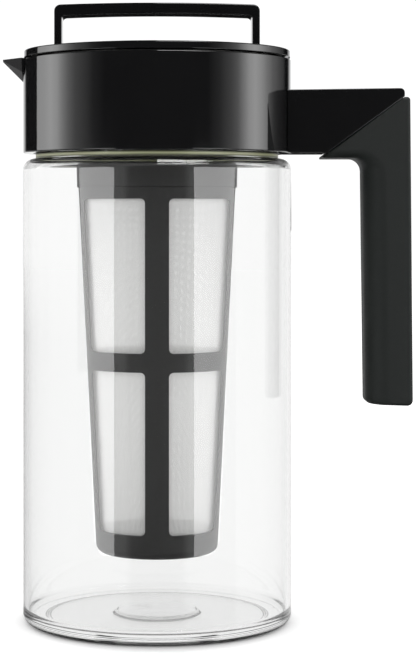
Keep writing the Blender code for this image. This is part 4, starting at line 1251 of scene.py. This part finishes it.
def panel(name, low, high, stops, last_low=None, rise=None):
    """A curved light panel between two heights. Its lower edge ends at last_low, if that is
    given. rise gives the heights between which it comes up to full."""
    first, last = stops[0][0], stops[-1][0]
    made, tree, light = light_tree(name)
    strength = brightness_along(tree, stops)
    if rise is not None:
        risen = ramp(tree, place(tree)["Z"], *rise, LEFT_PANEL_REST, 1.0)
        strength = math_node(tree, "MULTIPLY", strength, risen)
    tree.links.new(strength, light.inputs["Strength"])
    foot_end = last if last_low is None else last_low
    gloss_only(name, panel_mesh(low, high, first, last, foot_end), made)


def strip(name, inner, side):
    """One of the two bright strips, at the left (side 1) or the right (side -1)."""
    stops = [(side * inner, STRIP_LIGHT), (side * STRIP_OUTER, STRIP_LIGHT)]
    panel(name, STRIP_FOOT, PANEL_SPLIT, stops, last_low=side * STRIP_OUTER_FOOT)


def overhead():
    """A softbox above the front, a little to the right."""
    mesh = bmesh.new()
    (left, right), (front, back) = OVERHEAD_ACROSS, OVERHEAD_ALONG
    corners = [(left, front), (right, front), (right, back), (left, back)]
    mesh.faces.new([mesh.verts.new((x, y, OVERHEAD_HEIGHT)) for x, y in corners])
    made, _, light = light_tree("overhead")
    light.inputs["Strength"].default_value = OVERHEAD_LIGHT
    gloss_only("overhead", mesh, made, inside_glass=True)


def panels():
    """All the lights that only gloss sees."""
    panel("panel_left_high", PANEL_SPLIT, PANEL_TOP, LEFT_HIGH_STOPS)
    panel("panel_right_high", PANEL_SPLIT, PANEL_TOP, RIGHT_HIGH_STOPS)
    strip("strip_left", STRIP_LEFT_INNER, 1)
    strip("strip_right", STRIP_RIGHT_INNER, -1)
    panel("panel_left_low", PANEL_FOOT, PANEL_SPLIT, LEFT_LOW_STOPS, rise=LEFT_PANEL_RISE)
    panel("panel_left_far", PANEL_FOOT, PANEL_SPLIT, LEFT_FAR_STOPS)
    panel("panel_right_low", PANEL_FOOT, PANEL_SPLIT, RIGHT_LOW_STOPS)
    overhead()
    panel("backdrop_low", PANEL_FOOT, BACKDROP_SPLIT, BACKDROP_STOPS)


def camera():
    """The camera looks level along +Y, and its lens is shifted to frame the object."""
    data = bpy.data.cameras.new("camera")
    data.sensor_width = SENSOR
    data.lens = SENSOR * CAMERA_DISTANCE / METRES_PER_PIXEL / IMAGE_HEIGHT_PX
    data.shift_x = (IMAGE_CENTRE[0] - AXIS_COLUMN) / IMAGE_HEIGHT_PX
    data.shift_y = (HORIZON_ROW - IMAGE_CENTRE[1]) / IMAGE_HEIGHT_PX
    made = bpy.data.objects.new("camera", data)
    made.location = (0, -CAMERA_DISTANCE, CAMERA_HEIGHT)
    made.rotation_euler = (math.radians(90), 0, 0)
    bpy.context.scene.collection.objects.link(made)
    bpy.context.scene.camera = made


gloss = gloss_black()
smoke = smoke_plastic()
camera()
pitcher()
shoulder_ring()
collar(gloss)
arm(gloss)
grip()
lid_top(gloss)
carry_loop(gloss)
infuser_cage(smoke)
infuser_top(smoke)
infuser_sleeve()
hidden_parts()
floor()
world()
panels()
bpy.context.scene.view_settings.view_transform = "Standard"
